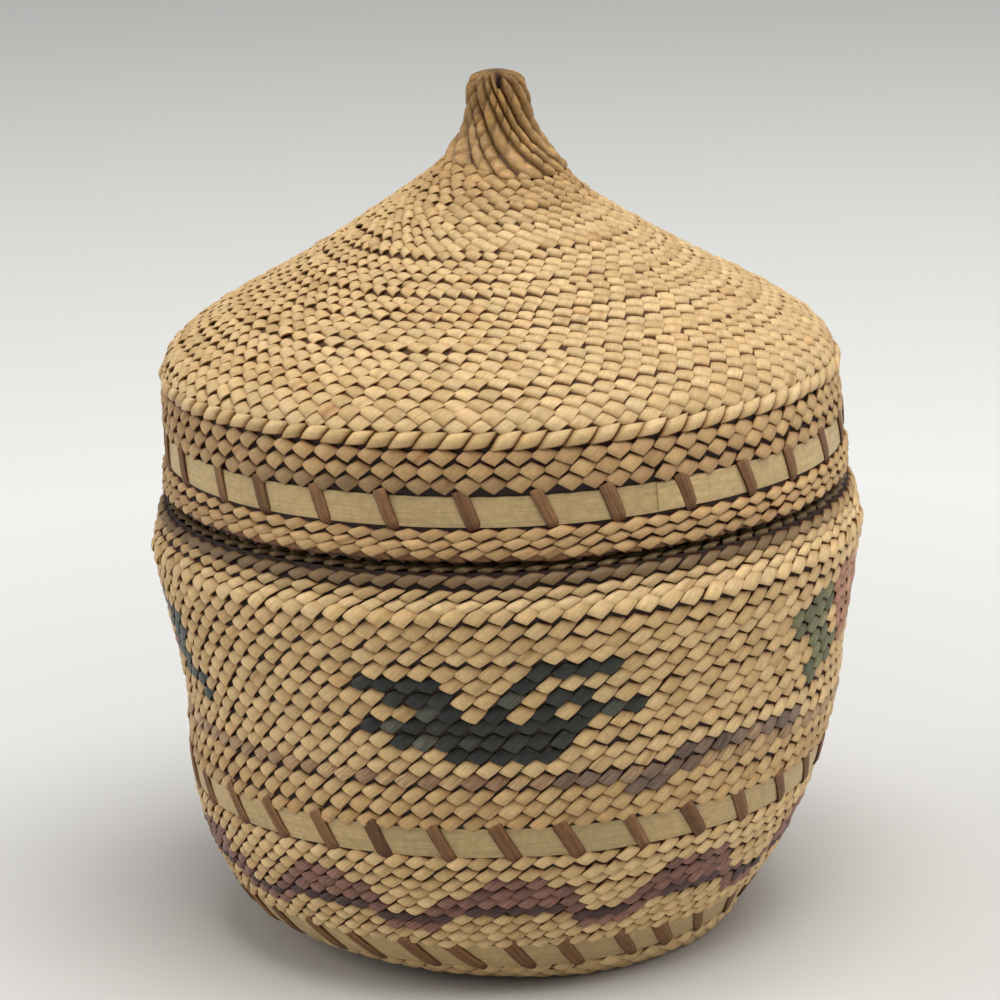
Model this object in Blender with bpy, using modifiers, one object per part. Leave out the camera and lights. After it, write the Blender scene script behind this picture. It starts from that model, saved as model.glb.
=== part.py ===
"""A small lidded basket, twined in pale grass over warps of cedar bark.

The body and the lid are each woven in one go from the middle outwards, band by band, and the
bands are the pieces here: the plaited start, the rounds of the base, the plain walls, three flat
strips that every third warp crosses, the thick cord rows at both shoulders, the neck that the
lid fits over, and the knob where the lid's warps are gathered and twisted together.
Lengths are in metres. The basket stands on z = 0 round the Z axis, with its front to -Y.
"""

import math

import bmesh
import bpy
import numpy as np
from mathutils import Matrix, Vector

# Overall sizes
body_radius = 0.0450  # of the body at its shoulder cord, the widest place
body_height = 0.0580  # from the floor to the ledge that carries the lid
ledge_width = 0.0020  # from the lid's lower edge out to the widest radius
lid_height = 0.0509  # from the lid's lower edge to the tip of the knob
base_radius = 0.0245  # of the flat part of the underside
wall = 0.0016  # warp and weft together
seam = 0.0003  # between one band and the next

# Plaited start in the middle of the base
plait_side = 0.0170
plait_corner = 0.0015
plait_thickness = 0.0010
plait_recess = 0.0003  # the bark lies this far above the floor

# Flat strips and the warps that cross them
heel_strip_height = 0.0051  # middle of the strip above the floor
heel_strip_width = 0.0044
waist_strip_height = 0.0224
waist_strip_width = 0.0040
lid_strip_height = 0.0059  # middle of the strip above the lid's lower edge
lid_strip_width = 0.0042
strip_depth = 0.00025  # the strip's face under the face of the weave
strip_thickness = 0.0005
lip_width = 0.0007  # the compact weft row along each side of a strip
lip_rise = 0.0003
bar_width = 0.0015
bar_thickness = 0.0006
body_bars = 32  # every third one of 96 warps
lid_bars = 30  # every third one of 90 warps
heel_bar_lean = math.radians(36)
waist_bar_lean = math.radians(34)
lid_bar_lean = math.radians(18)
heel_bar_turn = math.radians(-85)  # one bar of the ring, near the front at -90 degrees
waist_bar_turn = math.radians(-90)
lid_bar_turn = math.radians(-96.5)

# Cord rows
shoulder_cord_drop = 0.0062  # under the ledge that carries the lid
lid_cord_height = 0.0141  # above the lid's lower edge
cord_width = 0.0019
cord_rise = 0.0004

# Neck inside the lid
lid_play = 0.0014  # between the neck and the inside of the lid
neck_height = 0.0100
lift_share = 4.5  # of the neck's height, which lifts the lid clear with room for a hand
rim_radius = 0.0009

# Lid edge and knob
lid_edge_width = 0.0012
knob_foot_height = 0.0388  # where the crown ends, above the lid's lower edge
knob_plug = 0.0012  # the knob's root inside the crown
knob_ropes = 8
knob_turns = -0.25  # of the ropes from root to tip, which climb to the left

# Outlines: height as a share of the height, radius as a share of the radius
body_profile_shares = (
    (0.040, 0.662),
    (0.093, 0.742),
    (0.233, 0.829),
    (0.388, 0.900),
    (0.621, 0.936),
    (0.776, 0.972),
    (0.890, 0.991),
    (0.965, 0.980),
    (1.000, 0.958),
)
lid_profile_shares = (
    (0.000, 1.000),
    (0.100, 0.993),
    (0.270, 0.980),
    (0.320, 0.962),
    (0.411, 0.833),
    (0.517, 0.605),
    (0.623, 0.400),
    (0.729, 0.221),
    (0.782, 0.163),
    (0.835, 0.118),
    (0.888, 0.096),
    (0.940, 0.090),
    (0.975, 0.068),
    (1.000, 0.036),
)
cord_shares = ((1.0, 0.0), (0.6, 0.8), (0.0, 1.0), (-0.6, 0.8), (-1.0, 0.0))  # half widths, rises
rope_depth_share = 0.17  # of the knob's radius, between two ropes
knob_ring_shares = (0.10, 0.20, 0.32, 0.44, 0.56, 0.68, 0.80, 0.89, 0.95, 0.985)  # foot to tip

# Fineness of the round shapes
turn_steps = 40
profile_samples = 400
rim_points = 6
rope_points = 4
sharp_angle = math.radians(40)
weld = seam / 100

# Worked out from the sizes above
lid_seat = body_height + seam
lid_radius = body_radius - ledge_width
lid_travel = lift_share * neck_height
neck_outer = lid_radius - wall - lid_play
neck_inner = neck_outer - wall
channel_depth = strip_depth + strip_thickness + seam
bar_under = seam - strip_depth

# Colours as linear red, green and blue, with roughness
grass = ("Pale grass weft", (0.56, 0.40, 0.20), 0.62)
strip_grass = ("Flat grass strip", (0.60, 0.46, 0.25), 0.50)
bark = ("Cedar bark warp", (0.22, 0.10, 0.045), 0.72)
cord_grass = ("Grass cord", (0.52, 0.36, 0.17), 0.60)
knob_grass = ("Gathered grass", (0.40, 0.23, 0.085), 0.62)


class Profile:
    """A smooth line up the outside of a wall, measured by its length from its lower end.

    The line passes through its corners without overshooting them, so a flat base stays flat.
    """

    def __init__(self, corners):
        corners = np.array(corners)
        steps = np.linalg.norm(np.diff(corners, axis=0), axis=1)
        knots = np.concatenate([[0.0], np.cumsum(steps)])
        along = np.linspace(0.0, knots[-1], profile_samples)
        line = np.stack([smooth(knots, corners[:, i], along) for i in range(2)], axis=1)
        pieces = np.linalg.norm(np.diff(line, axis=0), axis=1)
        self.length = np.concatenate([[0.0], np.cumsum(pieces)])
        self.line = line
        self.slope = np.gradient(line, self.length, axis=0)

    def at_height(self, height):
        """The length along the line at which it reaches a height."""
        return float(np.interp(height, self.line[:, 1], self.length))

    def at_radius(self, radius):
        """The length along the line at which it first reaches a radius."""
        return float(self.length[int(np.argmax(self.line[:, 0] >= radius))])

    def end(self):
        return float(self.length[-1])

    def direction(self, length):
        """The unit vector up the wall, as radius and height."""
        rise = np.array([np.interp(length, self.length, self.slope[:, i]) for i in range(2)])
        return rise / np.linalg.norm(rise)

    def point(self, length, depth=0.0):
        """Radius and height at a length along the wall and a depth under its face."""
        place = np.array([np.interp(length, self.length, self.line[:, i]) for i in range(2)])
        radial, upward = self.direction(length)
        return tuple(place - depth * np.array([upward, -radial]))


def smooth(knots, values, places):
    """A cubic curve through the values, monotone between each pair of them."""
    spans = np.diff(knots)
    secants = np.diff(values) / spans
    same_way = secants[:-1] * secants[1:] > 0
    safe = np.where(same_way, secants[:-1] + secants[1:], 1.0)
    inner = np.where(same_way, 2 * secants[:-1] * secants[1:] / safe, 0.0)
    slopes = np.concatenate([[secants[0]], inner, [secants[-1]]])
    cell = np.clip(np.searchsorted(knots, places, side="right") - 1, 0, len(spans) - 1)
    span = spans[cell]
    t = (places - knots[cell]) / span
    low, high = values[cell], values[cell + 1]
    bend = slopes[cell] * span * t * (1 - t) ** 2 - slopes[cell + 1] * span * t**2 * (1 - t)
    return low + (high - low) * t**2 * (3 - 2 * t) + bend


def body_line():
    """The body's outline: flat underside from the axis, then up to the ledge."""
    foot = [(0.0, 0.0), (base_radius / 2, 0.0), (base_radius, 0.0)]
    side = [(r * body_radius, z * body_height) for z, r in body_profile_shares]
    return Profile(foot + side)


def lid_line():
    """The lid's outline, from its lower edge to the tip of the knob."""
    return Profile([(r * lid_radius, z * lid_height) for z, r in lid_profile_shares])


def material_for(finish):
    """The material of a finish, made once."""
    name, colour, roughness = finish
    found = bpy.data.materials.get(name)
    if found:
        return found
    made = bpy.data.materials.new(name)
    made.use_nodes = True
    shader = made.node_tree.nodes["Principled BSDF"]
    shader.inputs["Base Color"].default_value = (*colour, 1.0)
    shader.inputs["Roughness"].default_value = roughness
    shader.inputs["Metallic"].default_value = 0.0
    made.diffuse_color = (*colour, 1.0)
    return made


def clear_scene():
    for thing in list(bpy.data.objects):
        bpy.data.objects.remove(thing, do_unlink=True)


def new_collection(name):
    made = bpy.data.collections.new(name)
    bpy.context.scene.collection.children.link(made)
    return made


def new_parent(name, height, collection):
    """An empty on the Z axis that carries the pieces of one weaving."""
    made = bpy.data.objects.new(name, None)
    made.location = (0.0, 0.0, height)
    made.empty_display_size = body_radius
    collection.objects.link(made)
    return made


def shaded(piece, finish):
    """Settles a piece's modifiers, shades it smooth with crisp corners and gives it its finish."""
    graph = bpy.context.evaluated_depsgraph_get()
    mesh = bpy.data.meshes.new_from_object(piece.evaluated_get(graph))
    piece.modifiers.clear()
    piece.data = mesh
    mesh.name = piece.name
    mesh.shade_smooth()
    mesh.set_sharp_from_angle(angle=sharp_angle)
    mesh.materials.clear()
    mesh.materials.append(material_for(finish))
    return piece


def turned_blank(name, outline, parent):
    """An outline turned round the Z axis. It runs down its outer side and back up its inner one."""
    count = len(outline)
    mesh = bpy.data.meshes.new(name)
    corners = [(radius, 0.0, height) for radius, height in outline]
    mesh.from_pydata(corners, [(i, (i + 1) % count) for i in range(count)], [])
    piece = bpy.data.objects.new(name, mesh)
    parent.users_collection[0].objects.link(piece)
    piece.parent = parent
    turn = piece.modifiers.new("Turn", "SCREW")
    turn.steps = turn_steps
    turn.render_steps = turn_steps
    turn.use_smooth_shade = True
    return piece


def turned(name, outline, finish, parent):
    return shaded(turned_blank(name, outline, parent), finish)


def band_outline(profile, low, high, outer_spans, inner_spans):
    """The section of a wall from one length along its profile to another."""
    outer = [profile.point(s) for s in np.linspace(high, low, outer_spans + 1)]
    inner = [profile.point(s, wall) for s in np.linspace(low, high, inner_spans + 1)]
    return outer + inner


def cord_outline(profile, middle):
    """The section of a thick row: a round back on the wall's thickness."""
    half = cord_width / 2
    back = [profile.point(middle + half * u, -cord_rise * v) for u, v in cord_shares]
    return back + [profile.point(middle - half, wall), profile.point(middle + half, wall)]


def strip_outline(profile, middle, width):
    """The section of a flat strip, sunk a little under the face of the weave."""
    top, foot = middle + width / 2, middle - width / 2
    back = strip_depth + strip_thickness
    return [
        profile.point(top, strip_depth),
        profile.point(foot, strip_depth),
        profile.point(foot, back),
        profile.point(top, back),
    ]


def channel_outline(profile, middle, width):
    """The section of the warps behind a strip, with the weft row along each side of it."""
    mouth = width / 2 + seam
    edge = mouth + lip_width
    return [
        profile.point(middle + edge, -lip_rise),
        profile.point(middle + mouth, -lip_rise),
        profile.point(middle + mouth, channel_depth),
        profile.point(middle - mouth, channel_depth),
        profile.point(middle - mouth, -lip_rise),
        profile.point(middle - edge, -lip_rise),
        profile.point(middle - edge, wall),
        profile.point(middle + edge, wall),
    ]


def channel_edges(middle, width):
    """Lengths along the profile at which the channel of a strip starts and ends."""
    half = width / 2 + seam + lip_width
    return middle - half, middle + half


def bar_places(profile, middle, width, count, lean, first_turn):
    """One matrix for each bar: across it, out of the wall, and up along its lean."""
    low, high = middle - width / 2 - seam - lip_width / 2, middle + width / 2 + seam + lip_width / 2
    rise = bar_under + bar_thickness / 2
    foot, top = (np.array(profile.point(s, -rise)) for s in (low, high))
    centre = (foot + top) / 2
    climb = np.linalg.norm(top - foot)
    radial, upward = (top - foot) / climb
    length = climb / math.cos(lean)
    for number in range(count):
        turn = first_turn + number * math.tau / count
        out = Vector((math.cos(turn), math.sin(turn), 0.0))
        round_about = Vector((-math.sin(turn), math.cos(turn), 0.0))
        up_wall = out * radial + Vector((0.0, 0.0, upward))
        normal = out * upward - Vector((0.0, 0.0, radial))
        along = up_wall * math.cos(lean) - round_about * math.sin(lean)
        across = normal.cross(along)
        frame = Matrix((across, normal, along)).transposed().to_4x4()
        frame.translation = out * centre[0] + Vector((0.0, 0.0, centre[1]))
        yield frame @ Matrix.Diagonal((bar_width, bar_thickness, length, 1.0))


def warp_cage(name, profile, middle, width, count, lean, first_turn, parent, helpers):
    """The warps at a strip: most pass behind it, and every third one crosses its face as a bar."""
    bars = bmesh.new()
    for place in bar_places(profile, middle, width, count, lean, first_turn):
        bmesh.ops.create_cube(bars, size=1.0, matrix=place)
    mesh = bpy.data.meshes.new(name + "_bars")
    bars.to_mesh(mesh)
    bars.free()
    helper = bpy.data.objects.new(name + "_bars", mesh)
    helper.hide_render = True
    helper.display_type = "WIRE"
    helpers.objects.link(helper)
    helper.parent = parent
    piece = turned_blank(name, channel_outline(profile, middle, width), parent)
    join = piece.modifiers.new("Join bars", "BOOLEAN")
    join.operation = "UNION"
    join.object = helper
    bpy.context.view_layer.update()
    return shaded(piece, bark)


def plait_slab(name, side, thickness, foot, collection, parent):
    """A square slab with rounded corners, its lower face at a height above the floor."""
    slab = bmesh.new()
    place = Matrix.Translation((0.0, 0.0, foot + thickness / 2))
    size = Matrix.Diagonal((side, side, thickness, 1.0))
    bmesh.ops.create_cube(slab, size=1.0, matrix=place @ size)
    upright = [e for e in slab.edges if abs(e.verts[0].co.z - e.verts[1].co.z) > thickness / 2]
    bmesh.ops.bevel(slab, geom=upright, offset=plait_corner, segments=3, profile=0.5, affect="EDGES")
    mesh = bpy.data.meshes.new(name)
    slab.to_mesh(mesh)
    slab.free()
    piece = bpy.data.objects.new(name, mesh)
    collection.objects.link(piece)
    piece.parent = parent
    return piece


def base_rounds(profile, high, parent, helpers):
    """The twined rounds of the base, with a square opening for the plaited start."""
    flat_end = profile.at_radius(base_radius)
    hole = plait_side / 4
    rises = np.linspace(high, flat_end, 3)
    outer = [profile.point(s) for s in rises] + [(hole, 0.0)]
    inner = [(hole, wall)] + [profile.point(s, wall) for s in rises[::-1]]
    piece = turned_blank("base_rounds", outer + inner, parent)
    overrun = wall
    cutter = plait_slab(
        "plait_opening", plait_side + 2 * seam, wall + 2 * overrun, -overrun, helpers, parent
    )
    cutter.hide_render = True
    cutter.display_type = "WIRE"
    cut = piece.modifiers.new("Plait opening", "BOOLEAN")
    cut.object = cutter
    bpy.context.view_layer.update()
    return shaded(piece, grass)


def ledge_outline(profile, low):
    """The section of the wall above the shoulder cord, with the ledge that the lid sits on."""
    turn_in = profile.at_height(body_height - wall)
    outer = [profile.point(s) for s in np.linspace(profile.end(), low, 3)]
    inner = [profile.point(s, wall) for s in np.linspace(low, turn_in, 2)]
    return outer + inner + [(neck_inner, body_height - wall), (neck_inner, body_height)]


def rim_outline(middle_radius, middle_height):
    """A round section, listed down its outer side and up its inner one."""
    turns = math.pi / 2 - (np.arange(rim_points) + 0.5) * math.tau / rim_points
    return [
        (middle_radius + rim_radius * math.cos(a), middle_height + rim_radius * math.sin(a))
        for a in turns
    ]


def build_body(pieces, helpers):
    """The basket itself, from the plaited start up to the rim of its neck."""
    root = new_parent("basket", 0.0, pieces)
    line = body_line()
    heel = line.at_height(heel_strip_height)
    waist = line.at_height(waist_strip_height)
    cord = line.at_height(body_height - shoulder_cord_drop)
    heel_low, heel_high = channel_edges(heel, heel_strip_width)
    waist_low, waist_high = channel_edges(waist, waist_strip_width)
    cord_low, cord_high = cord - cord_width / 2, cord + cord_width / 2

    start = plait_slab("base_plait", plait_side, plait_thickness, plait_recess, pieces, root)
    shaded(start, bark)
    base_rounds(line, heel_low - seam, root, helpers)
    warp_cage(
        "heel_warps", line, heel, heel_strip_width, body_bars, heel_bar_lean, heel_bar_turn, root, helpers
    )
    turned("heel_strip", strip_outline(line, heel, heel_strip_width), strip_grass, root)
    turned("lower_wall", band_outline(line, heel_high + seam, waist_low - seam, 3, 2), grass, root)
    warp_cage(
        "waist_warps", line, waist, waist_strip_width, body_bars, waist_bar_lean, waist_bar_turn, root, helpers
    )
    turned("waist_strip", strip_outline(line, waist, waist_strip_width), strip_grass, root)
    turned("main_wall", band_outline(line, waist_high + seam, cord_low - seam, 4, 3), grass, root)
    turned("shoulder_cord", cord_outline(line, cord), cord_grass, root)
    turned("shoulder_wall", ledge_outline(line, cord_high + seam), grass, root)

    rim_middle = body_height + neck_height - rim_radius
    foot, top = body_height + seam, rim_middle - rim_radius - seam
    neck = [(neck_outer, top), (neck_outer, foot), (neck_inner, foot), (neck_inner, top)]
    turned("neck_wall", neck, grass, root)
    turned("neck_rim", rim_outline((neck_outer + neck_inner) / 2, rim_middle), cord_grass, root)


def rope_section():
    """Unit outline of the knob: one round back for each rope, with a crease between two."""
    count = knob_ropes * rope_points
    turns = np.arange(count) * math.tau / count
    across = np.abs(np.sin(turns * knob_ropes / 2))
    reach = 1 - rope_depth_share * (1 - across)
    return [(r * math.cos(a), r * math.sin(a)) for r, a in zip(reach, turns)]


def knob_stations(line):
    """Height and radius up the knob: its root in the crown, its seat, then up to the tip."""
    foot = line.at_height(knob_foot_height)
    step = seam * line.direction(foot)
    seat_outer = np.array(line.point(foot)) + step
    seat_inner = np.array(line.point(foot, wall)) + step
    root = seat_inner - np.array([seam, knob_plug])
    rise = line.end() - foot
    rings = [line.point(foot + rise * share) for share in knob_ring_shares]
    return [root, seat_inner - np.array([seam, 0.0]), seat_outer, *rings, line.point(line.end())]


def knob(line, parent, helpers):
    """The gathered warps: one lobed section carried up the axis, turning as it goes."""
    section = bpy.data.curves.new("rope_section", "CURVE")
    section.dimensions = "2D"
    edge = section.splines.new("POLY")
    outline = rope_section()
    edge.points.add(len(outline) - 1)
    for point, (x, y) in zip(edge.points, outline):
        point.co = (x, y, 0.0, 1.0)
    edge.use_cyclic_u = True
    guide = bpy.data.objects.new("rope_section", section)
    guide.hide_render = True
    helpers.objects.link(guide)

    stations = knob_stations(line)
    bottom, top = stations[0][1], stations[-1][1]
    path = bpy.data.curves.new("lid_knob", "CURVE")
    path.dimensions = "3D"
    path.twist_mode = "MINIMUM"
    path.bevel_mode = "OBJECT"
    path.bevel_object = guide
    path.use_fill_caps = True
    spine = path.splines.new("POLY")
    spine.points.add(len(stations) - 1)
    for point, (radius, height) in zip(spine.points, stations):
        point.co = (0.0, 0.0, height, 1.0)
        point.radius = radius
        point.tilt = knob_turns * math.tau * (height - bottom) / (top - bottom)
    curve = bpy.data.objects.new("knob_path", path)
    helpers.objects.link(curve)
    bpy.context.view_layer.update()

    graph = bpy.context.evaluated_depsgraph_get()
    mesh = bpy.data.meshes.new_from_object(curve.evaluated_get(graph))
    solid = bmesh.new()
    solid.from_mesh(mesh)
    bmesh.ops.remove_doubles(solid, verts=solid.verts, dist=weld)
    bmesh.ops.recalc_face_normals(solid, faces=solid.faces)
    solid.to_mesh(mesh)
    solid.free()
    piece = bpy.data.objects.new("lid_knob", mesh)
    parent.users_collection[0].objects.link(piece)
    piece.matrix_world = curve.matrix_world
    piece.parent = parent
    bpy.data.objects.remove(curve, do_unlink=True)
    return shaded(piece, knob_grass)


def build_lid(pieces, helpers):
    """The lid, on an empty that rides up and down the Z axis from the ledge."""
    root = new_parent("lid", lid_seat, pieces)
    lift = root.constraints.new("LIMIT_LOCATION")
    lift.use_min_z = True
    lift.use_max_z = True
    lift.min_z = lid_seat
    lift.max_z = lid_seat + lid_travel
    line = lid_line()
    strip = line.at_height(lid_strip_height)
    cord = line.at_height(lid_cord_height)
    foot = line.at_height(knob_foot_height)
    strip_low, strip_high = channel_edges(strip, lid_strip_width)
    cord_low, cord_high = cord - cord_width / 2, cord + cord_width / 2

    turned("lid_edge", band_outline(line, 0.0, lid_edge_width, 1, 1), bark, root)
    turned("lid_skirt", band_outline(line, lid_edge_width + seam, strip_low - seam, 1, 1), grass, root)
    warp_cage(
        "lid_warps", line, strip, lid_strip_width, lid_bars, lid_bar_lean, lid_bar_turn, root, helpers
    )
    turned("lid_strip", strip_outline(line, strip, lid_strip_width), strip_grass, root)
    turned("lid_band", band_outline(line, strip_high + seam, cord_low - seam, 2, 1), grass, root)
    turned("lid_cord", cord_outline(line, cord), cord_grass, root)
    turned("lid_crown", band_outline(line, cord_high + seam, foot, 9, 5), grass, root)
    knob(line, root, helpers)


def main():
    clear_scene()
    pieces = new_collection("Twined trinket basket")
    helpers = new_collection("Cutters")
    helpers.hide_render = True
    build_body(pieces, helpers)
    build_lid(pieces, helpers)


main()
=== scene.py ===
"""Looks of a small twined basket with a lift-off lid.

Every stitch of the weave is a short closed blade of grass that arches over one warp. The stitches
lie in courses round the outline of the body and of the lid, between the heights at which the
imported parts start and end. Lengths are in metres, the basket stands on z = 0 and its front is -Y.
"""

import logging
import math
from collections.abc import Callable, Sequence
from dataclasses import dataclass, field
from enum import Enum

import bpy
import numpy as np
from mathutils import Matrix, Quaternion, Vector


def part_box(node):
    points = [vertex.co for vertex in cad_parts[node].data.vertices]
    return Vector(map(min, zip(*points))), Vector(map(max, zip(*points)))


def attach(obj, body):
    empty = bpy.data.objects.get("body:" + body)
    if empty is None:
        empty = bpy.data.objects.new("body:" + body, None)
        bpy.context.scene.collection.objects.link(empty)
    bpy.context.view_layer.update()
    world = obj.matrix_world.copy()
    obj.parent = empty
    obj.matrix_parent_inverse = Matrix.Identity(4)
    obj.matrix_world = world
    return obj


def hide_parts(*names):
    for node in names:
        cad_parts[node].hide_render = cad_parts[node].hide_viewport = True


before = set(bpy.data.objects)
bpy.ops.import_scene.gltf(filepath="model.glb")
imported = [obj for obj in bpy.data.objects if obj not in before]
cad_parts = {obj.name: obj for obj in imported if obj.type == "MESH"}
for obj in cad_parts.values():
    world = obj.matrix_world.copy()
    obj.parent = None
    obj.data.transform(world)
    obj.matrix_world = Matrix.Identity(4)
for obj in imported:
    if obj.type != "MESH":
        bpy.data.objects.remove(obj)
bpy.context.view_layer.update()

Array = np.ndarray
Colour = tuple[float, float, float]
Rule = Callable[[float], float]

MM = 0.001
PAINTED_GAP_SHADE: Colour = (44, 23, 11)  # painted shade between the stitches
WARPS_AND_GAP_SHADE: Colour = (40, 22, 13)  # of the warps behind the stitches, darker than the bark's own colour as painted shade in the gaps
CROWN_WARP_SHADE: Colour = (84, 56, 32)
PLAIT_SHADE: Colour = (128, 88, 58)
STRIP_SHADE: Colour = (180, 154, 108)
CRISP = math.radians(50)  # edges sharper than this are not smoothed
FOLD_PAINTED_SHADE = 0.5  # painted shade at the bottom of a fold
FOLD_WIDTH = 0.12  # half of it, as a share of half a blade
FOLD_DEPTH = 0.1 * MM  # at which a fold's painted shade is darkest
GAP_SHADE_SHARE = 0.4  # most that the painted gap shade may have of the strand's own colour
BROWNING = np.array([1.0, 1.35, 1.8])  # exponents of a shadow, per channel
CROWDED = 0.87  # of the usual width, at which warps are dropped
EASED = 1.05  # of the usual width, to which the rest spread
EVENING_ROUNDS = 12
STITCHES_ROUND = 96  # for how fast the colours drift round a course
ODD_SHARE = 0.65  # of the odd colour in an odd stitch
# painted shade on the ledge under the lid, as a brightness
LEDGE_UNDER_LID_SHADE = 0.30
CROWN_BRIGHTNESS = 0.94
CROWN_TOP_BRIGHTNESS = 0.92
PATCH_SCALE = 1200.0  # of the mottling's noise
ROPE_START = 0.55  # share of the crown's courses under the rope-like ones
LOG = logging.getLogger("basket")


class Body(Enum):
    """The two bodies that a piece can ride on."""

    BASKET = "basket"
    LID = "lid"


class Side(Enum):
    """The face of a wall that stitches lie on, as the sign of its outward direction."""

    OUTSIDE = 1
    INSIDE = -1


class Run(Enum):
    """Which way a stitch lies in its wall."""

    ACROSS = "over the warps"
    ALONG = "along the warps"
    LEVEL = "along the course"


class Slot(Enum):
    """The record's material slots."""

    WEFT = "weft_grass"
    STRIP = "strip_grass"
    CORD = "cord_grass"
    KNOB = "knob_grass"
    BARK = "cedar_bark"
    CHARCOAL = "charcoal_grass"
    PURPLE = "purple_grass"
    GREEN = "green_grass"
    RED = "red_grass"


def linear(colour: Colour) -> Array:
    """Scene-linear values of a screen colour.

    Each channel c from 0 to 255 becomes ((c / 255 + 0.055) / 1.055) to the power 2.4, or
    c / 255 / 12.92 where it is dark.

    Args:
        colour: red, green and blue from 0 to 255.

    Returns:
        Three linear values from 0 to 1.
    """
    share = np.array(colour, float) / 255
    return np.where(share > 0.04045, ((share + 0.055) / 1.055) ** 2.4, share / 12.92)


def box_radius(node: str) -> float:
    """The radius that a turned CAD node reaches."""
    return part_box(node)[1].x


def box_low(node: str) -> float:
    """The height at which a CAD node starts."""
    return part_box(node)[0].z


def box_high(node: str) -> float:
    """The height at which a CAD node ends."""
    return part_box(node)[1].z


@dataclass
class WallLine:
    """The outline of one weaving, a smooth line told by its length from its lower end.

    Attributes:
        corners: radius and height of the points that the line passes through.
        samples: points at which the line is kept.
    """

    corners: Sequence[tuple[float, float]]
    samples: int = 800

    def __post_init__(self) -> None:
        """Samples a cubic through the corners that doesn't overshoot them."""
        corners = np.array(self.corners)
        knots = np.concatenate([[0.0], np.cumsum(np.linalg.norm(np.diff(corners, axis=0), axis=1))])
        along = np.linspace(0.0, knots[-1], self.samples)
        line = np.stack([self.cubic(knots, corners[:, i], along) for i in range(2)], axis=1)
        steps = np.linalg.norm(np.diff(line, axis=0), axis=1)
        self.lengths = np.concatenate([[0.0], np.cumsum(steps)])
        self.line = line
        slope = np.gradient(line, self.lengths, axis=0)
        self.slope = slope / np.linalg.norm(slope, axis=1, keepdims=True)

    @staticmethod
    def cubic(knots: Array, values: Array, places: Array) -> Array:
        """A cubic through values at knots, whose slopes are harmonic means of the secants.

        Args:
            knots: where the values stand, ascending.
            values: the values there.
            places: where the cubic is wanted.

        Returns:
            The cubic's values at the places.
        """
        spans = np.diff(knots)
        secants = np.diff(values) / spans
        same_way = secants[:-1] * secants[1:] > 0
        safe = np.where(same_way, secants[:-1] + secants[1:], 1.0)
        inner = np.where(same_way, 2 * secants[:-1] * secants[1:] / safe, 0.0)
        slopes = np.concatenate([[secants[0]], inner, [secants[-1]]])
        cell = np.clip(np.searchsorted(knots, places, side="right") - 1, 0, len(spans) - 1)
        span = spans[cell]
        t = (places - knots[cell]) / span
        low, high = values[cell], values[cell + 1]
        bend = slopes[cell] * span * t * (1 - t) ** 2 - slopes[cell + 1] * span * t**2 * (1 - t)
        return low + (high - low) * t**2 * (3 - 2 * t) + bend

    @property
    def end(self) -> float:
        """The whole length."""
        return float(self.lengths[-1])

    def at_height(self, height: float) -> float:
        """The length at which the line reaches a height."""
        return float(np.interp(height, self.line[:, 1], self.lengths))

    def at_radius(self, radius: float) -> float:
        """The length at which the line first reaches a radius, going outwards."""
        return float(self.lengths[int(np.argmax(self.line[:, 0] >= radius))])

    def radius(self, length: Array | float) -> Array:
        """The radius at lengths along the line."""
        return np.interp(length, self.lengths, self.line[:, 0])

    def frames(self, length: Array, turn: Array) -> tuple[Array, Array, Array, Array]:
        """Where points of the wall are, and which way its face lies there.

        The place is the profile's point turned round Z. Around is the direction of growing turn,
        upward the profile's tangent, and outward the cross product of these two.

        Args:
            length: lengths along the line.
            turn: angles round the Z axis.

        Returns:
            Place, around, upward and outward, each with three values per point.
        """
        radius = self.radius(length)
        height = np.interp(length, self.lengths, self.line[:, 1])
        rise = [np.interp(length, self.lengths, self.slope[:, i]) for i in range(2)]
        size = np.hypot(*rise)
        cos, sin, zero = np.cos(turn), np.sin(turn), np.zeros_like(turn)
        place = np.stack([radius * cos, radius * sin, height], axis=-1)
        around = np.stack([-sin, cos, zero], axis=-1)
        upward = np.stack([rise[0] * cos, rise[0] * sin, rise[1]], axis=-1) / size[..., None]
        return place, around, upward, np.cross(around, upward)


@dataclass(frozen=True)
class Settling:
    """How the soft weaving has settled out of true, as small sideways shifts and a tilt.

    Attributes:
        shifts: height and sideways shift of points on the settled axis, in millimetres.
        tilt: slope by which rows near the shoulder climb to the right.
        shoulder: height at which the tilt is strongest. It fades out above and below.
        foot_rise: how far the left side of the foot has risen from the table.
        foot_reach: distance left of the middle, and height, over which that happens.
    """

    shifts: tuple[tuple[float, float], ...] = (
        (0, 0.4),
        (4, -1.7),
        (10, -1.1),
        (22, 0.1),
        (33, 1.2),
        (46, 0.9),
        (60, 0.8),
        (80, 0.0),
        (93, -0.1),
        (99, 1.1),
        (110, 0.65),
    )
    tilt: float = 0.016
    shoulder: float = 50 * MM
    foot_rise: float = 1.3 * MM
    foot_reach: tuple[float, float] = (30 * MM, 14 * MM)

    def moved(self, points: Array) -> Array:
        """Points of the true form, moved to where they have settled.

        The shift is a smooth cubic through its points. The tilt lifts a point by tilt * x times
        a hat that rises from 0 on the floor to 1 at the shoulder and falls again to 0. The
        foot's left side rises by foot_rise * (0.3 - x / reach), faded out with the height.

        Args:
            points: x, y and z per point.

        Returns:
            The moved points.
        """
        knots, values = np.array(self.shifts).T * MM
        x, height = points[:, 0], points[:, 2]
        hat = np.clip(np.minimum(height, 2 * self.shoulder - height) / self.shoulder, 0, 1)
        moved = points.copy()
        moved[:, 0] += WallLine.cubic(knots, values, np.clip(height, knots[0], knots[-1]))
        left = np.clip(0.3 - x / self.foot_reach[0], 0, 1.3)
        rise = self.foot_rise * left * np.clip(1 - height / self.foot_reach[1], 0, 1)
        moved[:, 2] += self.tilt * x * hat + rise
        return moved


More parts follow.
